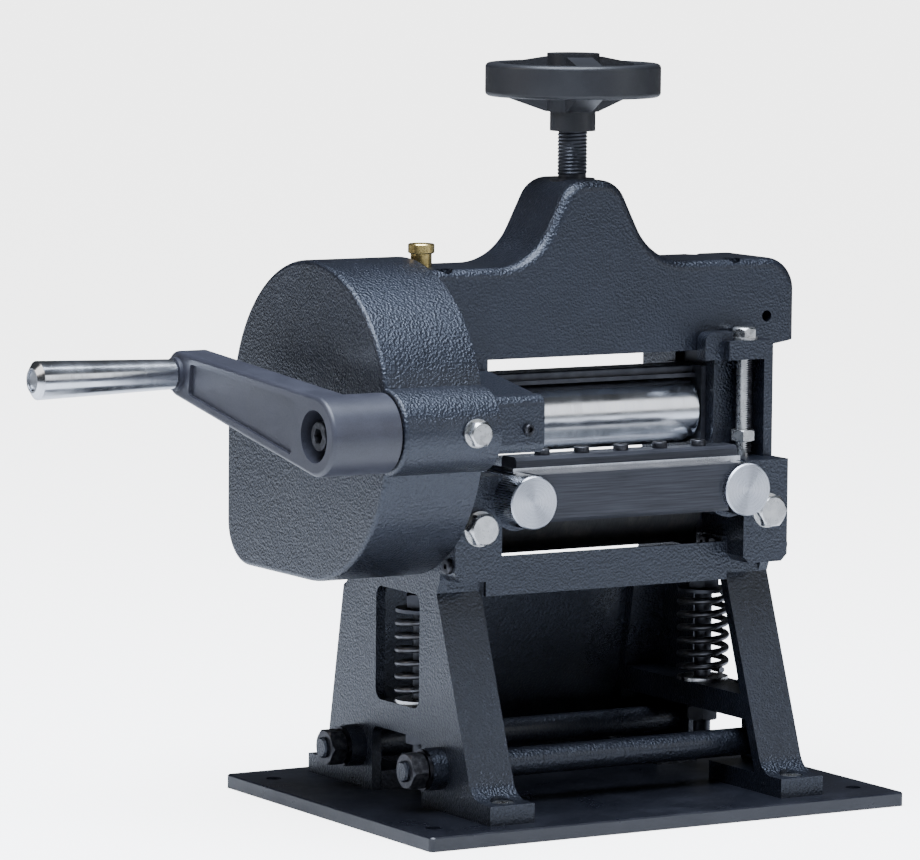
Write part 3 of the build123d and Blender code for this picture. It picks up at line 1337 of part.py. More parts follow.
with BuildPart() as oil_cup_cap:
    with BuildSketch(upright(oil_cup_x, axis_y, beam_top_z + 7.7)):
        Circle(7.5)
    extrude(amount=5.5)
    chamfer(oil_cup_cap.edges().filter_by(GeomType.CIRCLE), length=0.6)
    with BuildSketch(upright(oil_cup_x, axis_y, beam_top_z + 7.7)):
        Circle(circle_gap(4.0))
    extrude(amount=4.0, mode=Mode.SUBTRACT)
save(oil_cup_cap, "oil_cup_cap")

# ================================================================ washers and small screws of the fixed frame
with BuildPart() as washers:
    with Locations(*tie_planes):
        add(tie_washer)
    with Locations(*[towards_front(side * clamp_bolt_x, knife_block_front, clamp_bolt_z)
                     for side in (-1, 1)]):
        add(ring(10.0, 5.0, 1.8))
    with Locations(*[upright(side * height_screw_x, height_screw_y, lug_top_z) for side in (-1, 1)]):
        add(ring(8.0, 4.0, 1.5))
    with Locations(towards_front(cover_bolt_x, cover_bolt_seat - 0.1, crank_z)):
        add(ring(8.0, 4.0, 1.5))
    with Locations((-rod_x, lower_axis_y, shelf_top_z), (rod_x, lower_axis_y, shelf_top_z)):
        add(ring(spring_radius + 1.5, rod_radius + 0.5, seat_thickness))
save(washers, "washers")

chute_screw_planes = [
    Plane(origin=(side * (column_inner - 2.6), y, chute_screw_z), x_dir=(0, 1, 0), z_dir=(-side, 0, 0))
    for side in (-1, 1) for y in chute_screw_y]
side_screw_planes = [
    Plane(origin=(side * frame_outer, side_screw_y, side_screw_z), x_dir=(0, 1, 0), z_dir=(side, 0, 0))
    for side in (-1, 1)]
case_screw_planes = [
    Plane(origin=(-frame_outer - case_plate, y, z), x_dir=(0, 1, 0), z_dir=(-1, 0, 0))
    for y in (-case_screw_y, case_screw_y) for z in case_screw_z]
cover_screw_planes = [
    Plane(origin=(cover_screw_x, cover_back_y, cover_screw_z), x_dir=(1, 0, 0), z_dir=(0, 1, 0)),
    Plane(origin=(cover_screw_x, cover_screw_y, cover_bottom_z), x_dir=(1, 0, 0), z_dir=(0, 0, -1))]
with BuildPart() as small_screws:
    with Locations(*chute_screw_planes, *side_screw_planes, *case_screw_planes, *panel_screw_planes):
        add(socket_screw(4.3, 2.5, 2.5, 7.5, 3.0))
    with Locations(*cover_screw_planes):
        add(socket_screw(4.3, 2.8, 2.5, 12.0, 3.0))
    with Locations(towards_front(set_screw_x, arm_block_front + 1.5, crank_z)):
        add(socket_screw(3.0, 4.0, 2.9, 3.5, 3.0))
save(small_screws, "small_screws")
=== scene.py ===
"""Finishes, screw threads and studio for a hand-cranked leather splitting machine."""
import json
import math

import bpy
from mathutils import Matrix, Vector


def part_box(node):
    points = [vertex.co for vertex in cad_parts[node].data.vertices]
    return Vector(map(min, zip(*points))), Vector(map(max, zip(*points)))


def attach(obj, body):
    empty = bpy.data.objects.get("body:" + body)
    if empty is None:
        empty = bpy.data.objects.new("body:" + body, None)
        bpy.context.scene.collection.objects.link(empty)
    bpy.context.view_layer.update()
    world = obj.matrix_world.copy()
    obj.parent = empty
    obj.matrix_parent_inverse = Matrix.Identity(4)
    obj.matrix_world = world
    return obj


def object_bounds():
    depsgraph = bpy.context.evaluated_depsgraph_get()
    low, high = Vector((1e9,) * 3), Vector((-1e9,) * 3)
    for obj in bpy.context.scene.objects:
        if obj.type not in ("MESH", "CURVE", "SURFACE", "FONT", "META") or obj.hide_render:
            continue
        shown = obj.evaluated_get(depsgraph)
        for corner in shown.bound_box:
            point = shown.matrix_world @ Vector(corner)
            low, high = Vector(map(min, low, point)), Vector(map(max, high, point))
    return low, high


bl_info = {
    "name": "Leather splitting machine",
    "version": (1, 0, 0),
    "blender": (4, 5, 0),
    "location": "View3D > Sidebar > Splitter",
    "description": "Finishes a hand-cranked leather splitting machine and sets up its studio",
    "category": "Object",
}

MM = 0.001
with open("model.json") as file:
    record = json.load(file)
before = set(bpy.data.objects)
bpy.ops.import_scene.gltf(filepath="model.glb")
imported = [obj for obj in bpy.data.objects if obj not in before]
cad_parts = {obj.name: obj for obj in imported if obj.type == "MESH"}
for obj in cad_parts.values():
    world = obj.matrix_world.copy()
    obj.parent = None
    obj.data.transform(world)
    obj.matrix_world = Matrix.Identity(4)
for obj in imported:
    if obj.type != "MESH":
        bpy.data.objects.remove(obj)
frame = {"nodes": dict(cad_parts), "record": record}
cad_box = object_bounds()
box_centre = (Vector(cad_box[0]) + Vector(cad_box[1])) / 2
SLOT_OF = {part["node"]: part["material_slot"] for part in frame["record"]["subparts"]}


def nodes_in(*slots):
    """The CAD nodes whose finish is one of these material slots."""
    return [node for name, node in frame["nodes"].items() if SLOT_OF[name] in slots]


def centre_of(node):
    """The middle of a CAD node's box."""
    low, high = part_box(node)
    return (low + high) / 2


# ------------------------------------------------------------------ sizes and colours
class EnamelSettings(bpy.types.PropertyGroup):
    """The paint on castings, plate, crank arm and handwheel."""

    wrinkle_dark: bpy.props.FloatVectorProperty(
        name="Wrinkle enamel, dark", description="Darkest tone of the textured enamel on the castings",
        subtype="COLOR", size=3, min=0, max=1, default=(0.0026, 0.0028, 0.0042))
    wrinkle_light: bpy.props.FloatVectorProperty(
        name="Wrinkle enamel, light", description="Lightest tone of the textured enamel on the castings",
        subtype="COLOR", size=3, min=0, max=1, default=(0.0075, 0.0088, 0.0140))
    wrinkle_size: bpy.props.FloatProperty(
        name="Wrinkle size", description="Width of one wrinkle of the textured enamel",
        subtype="DISTANCE", unit="LENGTH", default=1.5 * MM, min=0.1 * MM, max=10 * MM)
    wrinkle_depth: bpy.props.FloatProperty(
        name="Wrinkle depth", description="How far the wrinkles stand up from the casting",
        subtype="DISTANCE", unit="LENGTH", default=0.45 * MM, min=0, max=2 * MM)
    arm_colour: bpy.props.FloatVectorProperty(
        name="Crank arm", description="Satin enamel of the crank arm",
        subtype="COLOR", size=3, min=0, max=1, default=(0.030, 0.031, 0.042))
    plate_colour: bpy.props.FloatVectorProperty(
        name="Base plate", description="Satin enamel of the base plate",
        subtype="COLOR", size=3, min=0, max=1, default=(0.008, 0.009, 0.014))
    wheel_colour: bpy.props.FloatVectorProperty(
        name="Handwheel", description="Satin black of the handwheel",
        subtype="COLOR", size=3, min=0, max=1, default=(0.010, 0.0105, 0.013))


class MetalSettings(bpy.types.PropertyGroup):
    """Bare and plated metal, and the rubber sleeve."""

    steel: bpy.props.FloatVectorProperty(
        name="Ground steel", description="Polished roller, blade and grip",
        subtype="COLOR", size=3, min=0, max=1, default=(0.74, 0.76, 0.80))
    zinc: bpy.props.FloatVectorProperty(
        name="Zinc plate", description="Bright plated bolts, nuts and washers",
        subtype="COLOR", size=3, min=0, max=1, default=(0.62, 0.62, 0.61))
    aluminium: bpy.props.FloatVectorProperty(
        name="Turned aluminium", description="Turned end faces of the knife rods",
        subtype="COLOR", size=3, min=0, max=1, default=(0.60, 0.62, 0.67))
    brass: bpy.props.FloatVectorProperty(
        name="Brass", description="Oil cup",
        subtype="COLOR", size=3, min=0, max=1, default=(0.78, 0.60, 0.24))
    bronze: bpy.props.FloatVectorProperty(
        name="Bronze", description="Bearing bushes and the screw nut",
        subtype="COLOR", size=3, min=0, max=1, default=(0.56, 0.36, 0.17))
    rubber: bpy.props.FloatVectorProperty(
        name="Rubber", description="Sleeve of the lower roller",
        subtype="COLOR", size=3, min=0, max=1, default=(0.030, 0.030, 0.031))
    ring_spacing: bpy.props.FloatProperty(
        name="Tool mark spacing", description="Distance between the turning marks on the knife rods",
        subtype="DISTANCE", unit="LENGTH", default=0.35 * MM, min=0.05 * MM, max=5 * MM)


class ThreadSettings(bpy.types.PropertyGroup):
    """Screw threads that show between castings and nuts."""

    spindle_pitch: bpy.props.FloatProperty(
        name="Spindle pitch", description="Pitch of the height spindle's thread",
        subtype="DISTANCE", unit="LENGTH", default=2.0 * MM, min=0.5 * MM, max=6 * MM)
    screw_pitch: bpy.props.FloatProperty(
        name="Screw pitch", description="Pitch of the thread on the knife block height screws",
        subtype="DISTANCE", unit="LENGTH", default=1.25 * MM, min=0.5 * MM, max=3 * MM)


class StudioSettings(bpy.types.PropertyGroup):
    """Camera, lights and floor."""

    heading: bpy.props.FloatProperty(
        name="Heading", description="Turn of the camera from the front, seen from above",
        subtype="ANGLE", unit="ROTATION", default=math.radians(30.675))
    tilt: bpy.props.FloatProperty(
        name="Tilt", description="How far the camera looks down",
        subtype="ANGLE", unit="ROTATION", default=math.radians(6.155))
    roll: bpy.props.FloatProperty(
        name="Roll", description="Turn of the camera about its own line of sight",
        subtype="ANGLE", unit="ROTATION", default=math.radians(0.487))
    distance: bpy.props.FloatProperty(
        name="Distance", description="From the camera to the middle of the machine",
        subtype="DISTANCE", unit="LENGTH", default=3.162, min=0.5, max=20)
    aim_offset: bpy.props.FloatVectorProperty(
        name="Aim", description="Aim of the camera from the middle of the machine",
        subtype="TRANSLATION", unit="LENGTH", size=3, default=(0.0024, -0.0009, 0.0020))
    lens: bpy.props.FloatProperty(
        name="Lens", description="Focal length of the camera",
        unit="CAMERA", default=218.8, min=10, max=600)
    sky_strength: bpy.props.FloatProperty(
        name="Room light", description="Brightness of the white room", default=0.05, min=0, max=10)
    floor_glow: bpy.props.FloatProperty(
        name="Floor glow", description="Brightness of the pale floor as it is seen",
        default=4.0, min=0, max=10)
    floor_bounce: bpy.props.FloatProperty(
        name="Floor bounce", description="Light that the pale floor throws back on the machine",
        default=0.10, min=0, max=10)
    key_power: bpy.props.FloatProperty(
        name="Key light", description="Power of the large softbox above", subtype="POWER", unit="POWER",
        default=120.0, min=0, max=5000)
    side_power: bpy.props.FloatProperty(
        name="Side light", description="Power of the softbox on the crank's side", subtype="POWER",
        unit="POWER", default=6.0, min=0, max=5000)
    front_power: bpy.props.FloatProperty(
        name="Front light", description="Power of the softbox in front on the right", subtype="POWER",
        unit="POWER", default=7.2, min=0, max=5000)
    floor_colour: bpy.props.FloatVectorProperty(
        name="Floor", description="Pale floor", subtype="COLOR", size=3, min=0, max=1,
        default=(0.90, 0.90, 0.91))


class SplitterSettings(bpy.types.PropertyGroup):
    """Everything a user would change."""

    enamel: bpy.props.PointerProperty(type=EnamelSettings)
    metal: bpy.props.PointerProperty(type=MetalSettings)
    thread: bpy.props.PointerProperty(type=ThreadSettings)
    studio: bpy.props.PointerProperty(type=StudioSettings)


# ------------------------------------------------------------------ material building
class Finish:
    """One procedural material, built up from patterns on the piece's own coordinates."""

    def __init__(self, name, metallic, sheen=0.5, coat=0.0, coat_roughness=0.1):
        self.material = bpy.data.materials.new(name)
        self.material.use_nodes = True
        self.tree = self.material.node_tree
        self.shader = self.tree.nodes["Principled BSDF"]
        self.place = self.add("ShaderNodeTexCoord").outputs["Object"]
        self.shader.inputs["Metallic"].default_value = metallic
        self.shader.inputs["Specular IOR Level"].default_value = sheen
        self.shader.inputs["Coat Weight"].default_value = coat
        self.shader.inputs["Coat Roughness"].default_value = coat_roughness
        self.normal = None

    def add(self, kind):
        return self.tree.nodes.new(kind)

    def link(self, source, target):
        self.tree.links.new(source, target)

    def stretched(self, scale):
        """The piece's coordinates, squeezed by a factor along each axis."""
        mapping = self.add("ShaderNodeMapping")
        mapping.inputs["Scale"].default_value = scale
        self.link(self.place, mapping.inputs["Vector"])
        return mapping.outputs["Vector"]

    def grain(self, size, detail=3.0, rough=0.55, place=None):
        """Noise whose features are about size metres across."""
        noise = self.add("ShaderNodeTexNoise")
        noise.inputs["Scale"].default_value = 1.0 / size
        noise.inputs["Detail"].default_value = detail
        noise.inputs["Roughness"].default_value = rough
        self.link(place or self.place, noise.inputs["Vector"])
        return noise.outputs["Fac"]

    def cells(self, size, smooth=0.4):
        """Rounded cells about size metres across, as in wrinkled paint."""
        cell = self.add("ShaderNodeTexVoronoi")
        cell.feature = "SMOOTH_F1"
        cell.inputs["Scale"].default_value = 1.0 / size
        cell.inputs["Smoothness"].default_value = smooth
        self.link(self.place, cell.inputs["Vector"])
        return cell.outputs["Distance"]

    def spread(self, factor, low, high, start=0.3, end=0.7):
        """A factor between start and end, spread to run from low to high."""
        spread = self.add("ShaderNodeMapRange")
        for socket, value in (("From Min", start), ("From Max", end), ("To Min", low), ("To Max", high)):
            spread.inputs[socket].default_value = value
        self.link(factor, spread.inputs["Value"])
        return spread.outputs["Result"]

    def sum(self, first, second, operation="ADD"):
        """Two factors joined by one sum."""
        node = self.add("ShaderNodeMath")
        node.operation = operation
        for socket, value in zip(node.inputs, (first, second)):
            if isinstance(value, (int, float)):
                socket.default_value = value
            else:
                self.link(value, socket)
        return node.outputs["Value"]

    def mixed(self, factor, dark, light):
        """A colour between dark and light; either may be another pattern's colour."""
        mix = self.add("ShaderNodeMix")
        mix.data_type = "RGBA"
        self.link(factor, mix.inputs["Factor"])
        for socket, colour in ((mix.inputs[6], dark), (mix.inputs[7], light)):
            if isinstance(colour, bpy.types.NodeSocket):
                self.link(colour, socket)
            else:
                socket.default_value = (*colour[:3], 1.0)
        return mix.outputs[2]

    def colour(self, socket):
        self.link(socket, self.shader.inputs["Base Color"])

    def roughness(self, factor, low, high):
        self.link(self.spread(factor, low, high), self.shader.inputs["Roughness"])

    def relief(self, height, depth, strength=1.0):
        """Raises the surface by depth metres where height is 1."""
        bump = self.add("ShaderNodeBump")
        bump.inputs["Strength"].default_value = strength
        bump.inputs["Distance"].default_value = depth
        self.link(height, bump.inputs["Height"])
        if self.normal is not None:
            self.link(self.normal, bump.inputs["Normal"])
        self.normal = bump.outputs["Normal"]
        self.link(self.normal, self.shader.inputs["Normal"])


def shade(colour, factor):
    """A colour made lighter or darker."""
    return tuple(min(1.0, channel * factor) for channel in colour)


def paint(nodes, material):
    """Gives these CAD nodes one material."""
    if not nodes:
        raise RuntimeError(f"no part takes the finish {material.name}")
    for node in nodes:
        node.data.materials.clear()
        node.data.materials.append(material)


def wrinkle_enamel(settings):
    """Textured black enamel: fine wrinkles, a blue-grey cast and worn, glossier patches."""
    finish = Finish("wrinkle_enamel", 0.0, sheen=0.62, coat=0.22, coat_roughness=0.20)
    finish.shader.inputs["Specular Tint"].default_value = (0.76, 0.84, 1.0, 1.0)
    patches = finish.grain(45 * MM, detail=2.0)
    wrinkle = finish.cells(settings.wrinkle_size)
    fine = finish.grain(settings.wrinkle_size * 0.45, detail=4.0, rough=0.6)
    ridges = finish.sum(wrinkle, finish.sum(fine, 0.7, "MULTIPLY"))
    tone = finish.mixed(finish.spread(fine, 0.0, 1.0), settings.wrinkle_dark, settings.wrinkle_light)
    dust = finish.spread(patches, 0.0, 0.35, 0.45, 0.75)
    finish.colour(finish.mixed(dust, tone, shade(settings.wrinkle_light, 1.6)))
    finish.roughness(finish.sum(patches, finish.sum(fine, 0.4, "MULTIPLY")), 0.20, 0.34)
    finish.relief(ridges, settings.wrinkle_depth, 1.0)
    finish.relief(finish.grain(9 * MM, detail=1.0), 0.10 * MM, 0.5)
    return finish.material


def satin_enamel(name, colour, low, high, peel, depth):
    """Smooth enamel with orange peel of the given size and depth, and rubbed, lighter patches."""
    finish = Finish(name, 0.0, sheen=0.5, coat=0.15, coat_roughness=0.35)
    rubbed = finish.grain(30 * MM, detail=4.0, rough=0.6)
    specks = finish.grain(0.7 * MM, detail=2.0)
    base = finish.mixed(finish.spread(specks, 0.0, 1.0), shade(colour, 0.75), shade(colour, 1.2))
    finish.colour(finish.mixed(finish.spread(rubbed, 0.0, 0.5, 0.5, 0.75), base, shade(colour, 1.7)))
    finish.roughness(rubbed, low, high)
    finish.relief(finish.grain(peel, detail=2.0), depth, 0.6)
    return finish.material


def plated_steel(colour):
    """Bright zinc plate: slightly cloudy, with fine pits."""
    finish = Finish("plated_steel", 1.0)
    cloud = finish.grain(5 * MM, detail=4.0)
    finish.colour(finish.mixed(finish.spread(cloud, 0.0, 1.0), shade(colour, 0.78), shade(colour, 1.12)))
    finish.roughness(cloud, 0.20, 0.36)
    finish.relief(finish.grain(0.5 * MM, detail=3.0), 0.03 * MM, 0.5)
    return finish.material


def plated_washers(colour, split_height):
    """Zinc-plated washers above a height, blackened ones below it."""
    fade = 1.0 * MM
    finish = Finish("washers", 1.0)
    cloud = finish.grain(4 * MM, detail=4.0)
    zinc = finish.mixed(finish.spread(cloud, 0.0, 1.0), shade(colour, 0.78), shade(colour, 1.1))
    split = finish.add("ShaderNodeSeparateXYZ")
    finish.link(finish.place, split.inputs["Vector"])
    upper = finish.spread(split.outputs["Z"], 0.0, 1.0, split_height - fade, split_height + fade)
    black = finish.mixed(finish.spread(cloud, 0.0, 1.0, 0.45, 0.8), (0.02, 0.02, 0.024), (0.08, 0.08, 0.09))
    finish.colour(finish.mixed(upper, black, zinc))
    finish.roughness(cloud, 0.24, 0.38)
    finish.relief(finish.grain(0.5 * MM, detail=3.0), 0.03 * MM, 0.5)
    return finish.material


def black_screws_and_painted_shade():
    """Black oxide screws: dark, with steel showing through where tools have rubbed. On the height screws'
    threads the same black is painted shade.
    """
    finish = Finish("black_screws_and_painted_shade", 0.7)
    rubbed = finish.grain(3 * MM, detail=4.0)
    finish.colour(finish.mixed(finish.spread(rubbed, 0.0, 1.0, 0.45, 0.8), (0.022, 0.022, 0.026),
                               (0.10, 0.10, 0.11)))
    finish.roughness(rubbed, 0.30, 0.46)
    finish.relief(finish.grain(0.4 * MM), 0.02 * MM, 0.5)
    return finish.material


def black_oxide():
    """Ground and blackened knife holder: long grinding lines under a dark, oily film."""
    finish = Finish("black_oxide", 0.55, coat=0.25, coat_roughness=0.22)
    lines = finish.grain(1.0 * MM, detail=3.0, place=finish.stretched((0.03, 1.0, 1.0)))
    oil = finish.grain(22 * MM, detail=3.0)
    finish.colour(finish.mixed(finish.spread(lines, 0.0, 1.0), (0.016, 0.017, 0.022),
                               (0.045, 0.047, 0.058)))
    finish.roughness(finish.sum(oil, finish.sum(lines, 0.3, "MULTIPLY")), 0.26, 0.50)
    finish.relief(lines, 0.025 * MM, 0.5)
    return finish.material


def machined_steel():
    """Milled and turned steel with tool lines and a thin film of oil."""
    finish = Finish("machined_steel", 1.0)
    lines = finish.grain(0.7 * MM, detail=3.0, place=finish.stretched((0.04, 1.0, 1.0)))
    film = finish.grain(16 * MM, detail=3.0)
    steel = finish.mixed(finish.spread(lines, 0.0, 1.0), (0.30, 0.31, 0.33), (0.48, 0.49, 0.51))
    finish.colour(finish.mixed(finish.spread(film, 0.0, 0.5, 0.5, 0.75), steel, (0.20, 0.19, 0.18)))
    finish.roughness(finish.sum(film, finish.sum(lines, 0.4, "MULTIPLY")), 0.26, 0.46)
    finish.relief(lines, 0.03 * MM, 0.5)
    return finish.material


def blackened_steel():
    """Dark turned steel of the spindle, crosshead, spring rods and nuts, stripper bar and bearing blocks.
    """
    finish = Finish("blackened_steel", 0.75, coat=0.15, coat_roughness=0.3)
    lines = finish.grain(0.6 * MM, detail=3.0, place=finish.stretched((0.05, 1.0, 1.0)))
    film = finish.grain(12 * MM, detail=3.0)
    finish.colour(finish.mixed(finish.spread(film, 0.0, 1.0), (0.030, 0.032, 0.040), (0.075, 0.078, 0.090)))
    finish.roughness(finish.sum(film, finish.sum(lines, 0.4, "MULTIPLY")), 0.28, 0.46)
    finish.relief(lines, 0.03 * MM, 0.5)
    return finish.material


def ground_steel(colour):
    """Cylindrically ground and polished steel: fine lines run around the roller and the grip."""
    finish = Finish("ground_steel", 1.0)
    around = finish.grain(0.5 * MM, detail=4.0, rough=0.7, place=finish.stretched((1.0, 0.02, 0.02)))
    bands = finish.grain(8 * MM, detail=2.0, place=finish.stretched((1.0, 0.05, 0.05)))
    smudge = finish.grain(25 * MM, detail=4.0)
    finish.colour(finish.mixed(finish.spread(around, 0.0, 1.0), shade(colour, 0.86), shade(colour, 1.08)))
    finish.roughness(finish.sum(finish.sum(bands, smudge), 0.5, "MULTIPLY"), 0.14, 0.30)
    finish.relief(around, 0.010 * MM, 0.5)
    return finish.material


def turned_aluminium(settings, rods):
    """Faced ends of the two knife rods: rings about each rod's own axis and a fan of light across them."""
    finish = Finish("turned_aluminium", 1.0)
    low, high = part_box(rods)
    rod_radius = (high.z - low.z) / 2
    split = finish.add("ShaderNodeSeparateXYZ")
    finish.link(finish.place, split.inputs["Vector"])
    across = finish.sum(split.outputs["X"], 0.0, "ABSOLUTE")
    across = finish.sum(across, high.x - rod_radius, "SUBTRACT")
    above = finish.sum(split.outputs["Z"], (low.z + high.z) / 2, "SUBTRACT")
    radial = finish.add("ShaderNodeCombineXYZ")
    finish.link(across, radial.inputs["X"])
    finish.link(above, radial.inputs["Z"])
    length = finish.add("ShaderNodeVectorMath")
    length.operation = "LENGTH"
    finish.link(radial.outputs["Vector"], length.inputs[0])
    reach = length.outputs["Value"]
    wave = finish.sum(finish.sum(reach, 2 * math.pi / settings.ring_spacing, "MULTIPLY"), 0.0, "SINE")
    ring = finish.add("ShaderNodeCombineXYZ")
    finish.link(finish.sum(reach, 1.0 / settings.ring_spacing, "MULTIPLY"), ring.inputs["X"])
    uneven = finish.add("ShaderNodeTexNoise")
    uneven.inputs["Scale"].default_value = 0.8
    uneven.inputs["Detail"].default_value = 3.0
    finish.link(ring.outputs["Vector"], uneven.inputs["Vector"])
    marks = finish.sum(uneven.outputs["Fac"], finish.sum(wave, 0.12, "MULTIPLY"))
    finish.colour(finish.mixed(finish.spread(marks, 0.0, 1.0), shade(settings.aluminium, 0.72),
                               shade(settings.aluminium, 1.1)))
    finish.roughness(marks, 0.24, 0.36)
    finish.relief(marks, 0.02 * MM, 0.6)
    # the light fans out because the marks run round the rod
    tangent = finish.add("ShaderNodeCombineXYZ")
    finish.link(finish.sum(above, -1.0, "MULTIPLY"), tangent.inputs["X"])
    finish.link(across, tangent.inputs["Z"])
    finish.link(tangent.outputs["Vector"], finish.shader.inputs["Tangent"])
    finish.shader.inputs["Anisotropic"].default_value = 0.92
    return finish.material


def warm_metal(name, colour, low, high):
    """Brass or bronze, with brown tarnish in patches and fine turning lines."""
    finish = Finish(name, 1.0)
    tarnish = finish.grain(4 * MM, detail=4.0, rough=0.65)
    turned = finish.grain(0.4 * MM, detail=3.0, place=finish.stretched((0.05, 0.05, 1.0)))
    bright = finish.mixed(finish.spread(turned, 0.0, 1.0), shade(colour, 0.85), shade(colour, 1.1))
    finish.colour(finish.mixed(finish.spread(tarnish, 0.0, 0.8, 0.5, 0.8), bright, shade(colour, 0.45)))
    finish.roughness(tarnish, low, high)
    finish.relief(turned, 0.02 * MM, 0.5)
    return finish.material


def gear_steel():
    """Cut and oiled gear teeth: bright flanks and dark grease in patches."""
    finish = Finish("gear_steel", 1.0)
    grease = finish.grain(7 * MM, detail=4.0, rough=0.6)
    cut = finish.grain(0.35 * MM, detail=2.0, place=finish.stretched((0.05, 1.0, 1.0)))
    steel = finish.mixed(finish.spread(cut, 0.0, 1.0), (0.28, 0.29, 0.30), (0.46, 0.47, 0.49))
    finish.colour(finish.mixed(finish.spread(grease, 0.0, 0.9, 0.45, 0.7), steel, (0.06, 0.045, 0.03)))
    finish.roughness(grease, 0.22, 0.5)
    finish.relief(cut, 0.03 * MM, 0.5)
    return finish.material


def spring_steel():
    """Oil-tempered wire: blue-brown oxide with drawn lines along the coil."""
    finish = Finish("spring_steel", 0.9)
    oxide = finish.grain(6 * MM, detail=4.0)
    drawn = finish.grain(0.5 * MM, detail=2.0, place=finish.stretched((0.2, 0.2, 1.0)))
    wire = finish.mixed(finish.spread(drawn, 0.0, 1.0), (0.07, 0.072, 0.080), (0.16, 0.165, 0.18))
    finish.colour(finish.mixed(finish.spread(oxide, 0.0, 0.6), wire, (0.05, 0.043, 0.038)))
    finish.roughness(oxide, 0.26, 0.42)
    finish.relief(drawn, 0.02 * MM, 0.5)
    return finish.material


def ground_rubber(colour):
    """Ground rubber sleeve: matt, with lines around it and a dusting of leather fibre."""
    finish = Finish("ground_rubber", 0.0, sheen=0.35)
    ground = finish.grain(0.5 * MM, detail=4.0, rough=0.7, place=finish.stretched((1.0, 0.08, 0.08)))
    dust = finish.grain(10 * MM, detail=5.0, rough=0.7)
    rubber = finish.mixed(finish.spread(ground, 0.0, 1.0), shade(colour, 0.7), shade(colour, 1.4))
    finish.colour(finish.mixed(finish.spread(dust, 0.0, 0.3, 0.5, 0.8), rubber, (0.16, 0.14, 0.12)))
    finish.roughness(dust, 0.55, 0.75)
    finish.relief(ground, 0.04 * MM, 0.6)
    return finish.material


# ------------------------------------------------------------------ new pieces
def deselect_all():
    if bpy.context.object is not None and bpy.context.object.mode != "OBJECT":
        bpy.ops.object.mode_set(mode="OBJECT")
    bpy.ops.object.select_all(action="DESELECT")


def screw_thread(name, body, centre, low, high, radius, pitch):
    """A helical ridge round an upright screw between two heights; its inner half is inside the screw."""
    steps_round = 28
    ridge_height = 0.30 * pitch
    ridge_half = 0.46 * pitch
    turns = math.floor((high - low - 2 * ridge_half) / pitch)
    if turns < 1:
        raise RuntimeError(f"{name} has no room for a thread between its ends")
    deselect_all()
    bpy.ops.mesh.primitive_circle_add(vertices=4, radius=ridge_half, fill_type="NOTHING",
                                      location=(radius, 0, 0), rotation=(math.radians(90), 0, 0))
    thread = bpy.context.object
    thread.name = name
    bpy.ops.object.transform_apply(location=True, rotation=True, scale=True)
    bpy.ops.object.mode_set(mode="EDIT")
    bpy.ops.mesh.select_all(action="SELECT")
    bpy.ops.transform.resize(value=(ridge_height / ridge_half, 1, 1),
                             center_override=(radius, 0, 0))
    bpy.ops.object.mode_set(mode="OBJECT")
    screw = thread.modifiers.new("helix", "SCREW")
    screw.axis = "Z"
    screw.screw_offset = pitch
    screw.iterations = turns
    screw.steps = steps_round
    screw.render_steps = steps_round
    screw.use_merge_vertices = False
    bpy.ops.object.modifier_apply(modifier=screw.name)
    bpy.ops.object.mode_set(mode="EDIT")
    bpy.ops.mesh.select_all(action="SELECT")
    bpy.ops.mesh.fill_holes(sides=0)
    bpy.ops.mesh.select_all(action="SELECT")
    bpy.ops.mesh.normals_make_consistent(inside=False)
    bpy.ops.transform.translate(value=(centre.x, centre.y, low + ridge_half))
    bpy.ops.object.mode_set(mode="OBJECT")
    bpy.ops.object.shade_smooth_by_angle(angle=math.radians(25))
    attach(thread, body)
    return thread


# ------------------------------------------------------------------ operators
class SPLITTER_OT_castings(bpy.types.Operator):
    """Paint the side frames, beam, gear cover, knife blocks and panels in wrinkle enamel"""

    bl_idname = "splitter.castings"
    bl_label = "Castings"

    def execute(self, context):
        paint(nodes_in("black_paint"), wrinkle_enamel(context.scene.splitter.enamel))
        return {"FINISHED"}


class SPLITTER_OT_smooth_paint(bpy.types.Operator):
    """Paint the base plate, crank arm and handwheel in satin enamel"""

    bl_idname = "splitter.smooth_paint"
    bl_label = "Base plate, crank arm and handwheel"

    def execute(self, context):
        enamel = context.scene.splitter.enamel
        paint(nodes_in("base_steel"),
              satin_enamel("plate_enamel", enamel.plate_colour, 0.24, 0.46, 2.2 * MM, 0.10 * MM))
        paint(nodes_in("arm_paint"),
              satin_enamel("arm_enamel", enamel.arm_colour, 0.36, 0.50, 1.4 * MM, 0.05 * MM))
        paint(nodes_in("wheel_black"),
              satin_enamel("wheel_enamel", enamel.wheel_colour, 0.40, 0.54, 1.0 * MM, 0.05 * MM))
        return {"FINISHED"}


class SPLITTER_OT_fasteners(bpy.types.Operator):
    """Plate the bolts, nuts and washers in bright zinc and blacken the small screws"""

    bl_idname = "splitter.fasteners"
    bl_label = "Fasteners"

    def execute(self, context):
        zinc = context.scene.splitter.metal.zinc
        paint(nodes_in("bright_steel"), plated_steel(zinc))
        tie_bar_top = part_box("tie_bars")[1].z
        washer_room = 20 * MM
        paint([frame["nodes"]["washers"]], plated_washers(zinc, tie_bar_top + washer_room))
        paint(nodes_in("black_screw"), black_screws_and_painted_shade())
        return {"FINISHED"}


class SPLITTER_OT_rollers(bpy.types.Operator):
    """Grind the steel roller, blade and grip, and the rubber sleeve"""

    bl_idname = "splitter.rollers"
    bl_label = "Rollers, blade and grip"

    def execute(self, context):
        metal = context.scene.splitter.metal
        paint(nodes_in("polished_steel"), ground_steel(metal.steel))
        paint(nodes_in("rubber_sleeve"), ground_rubber(metal.rubber))
        return {"FINISHED"}


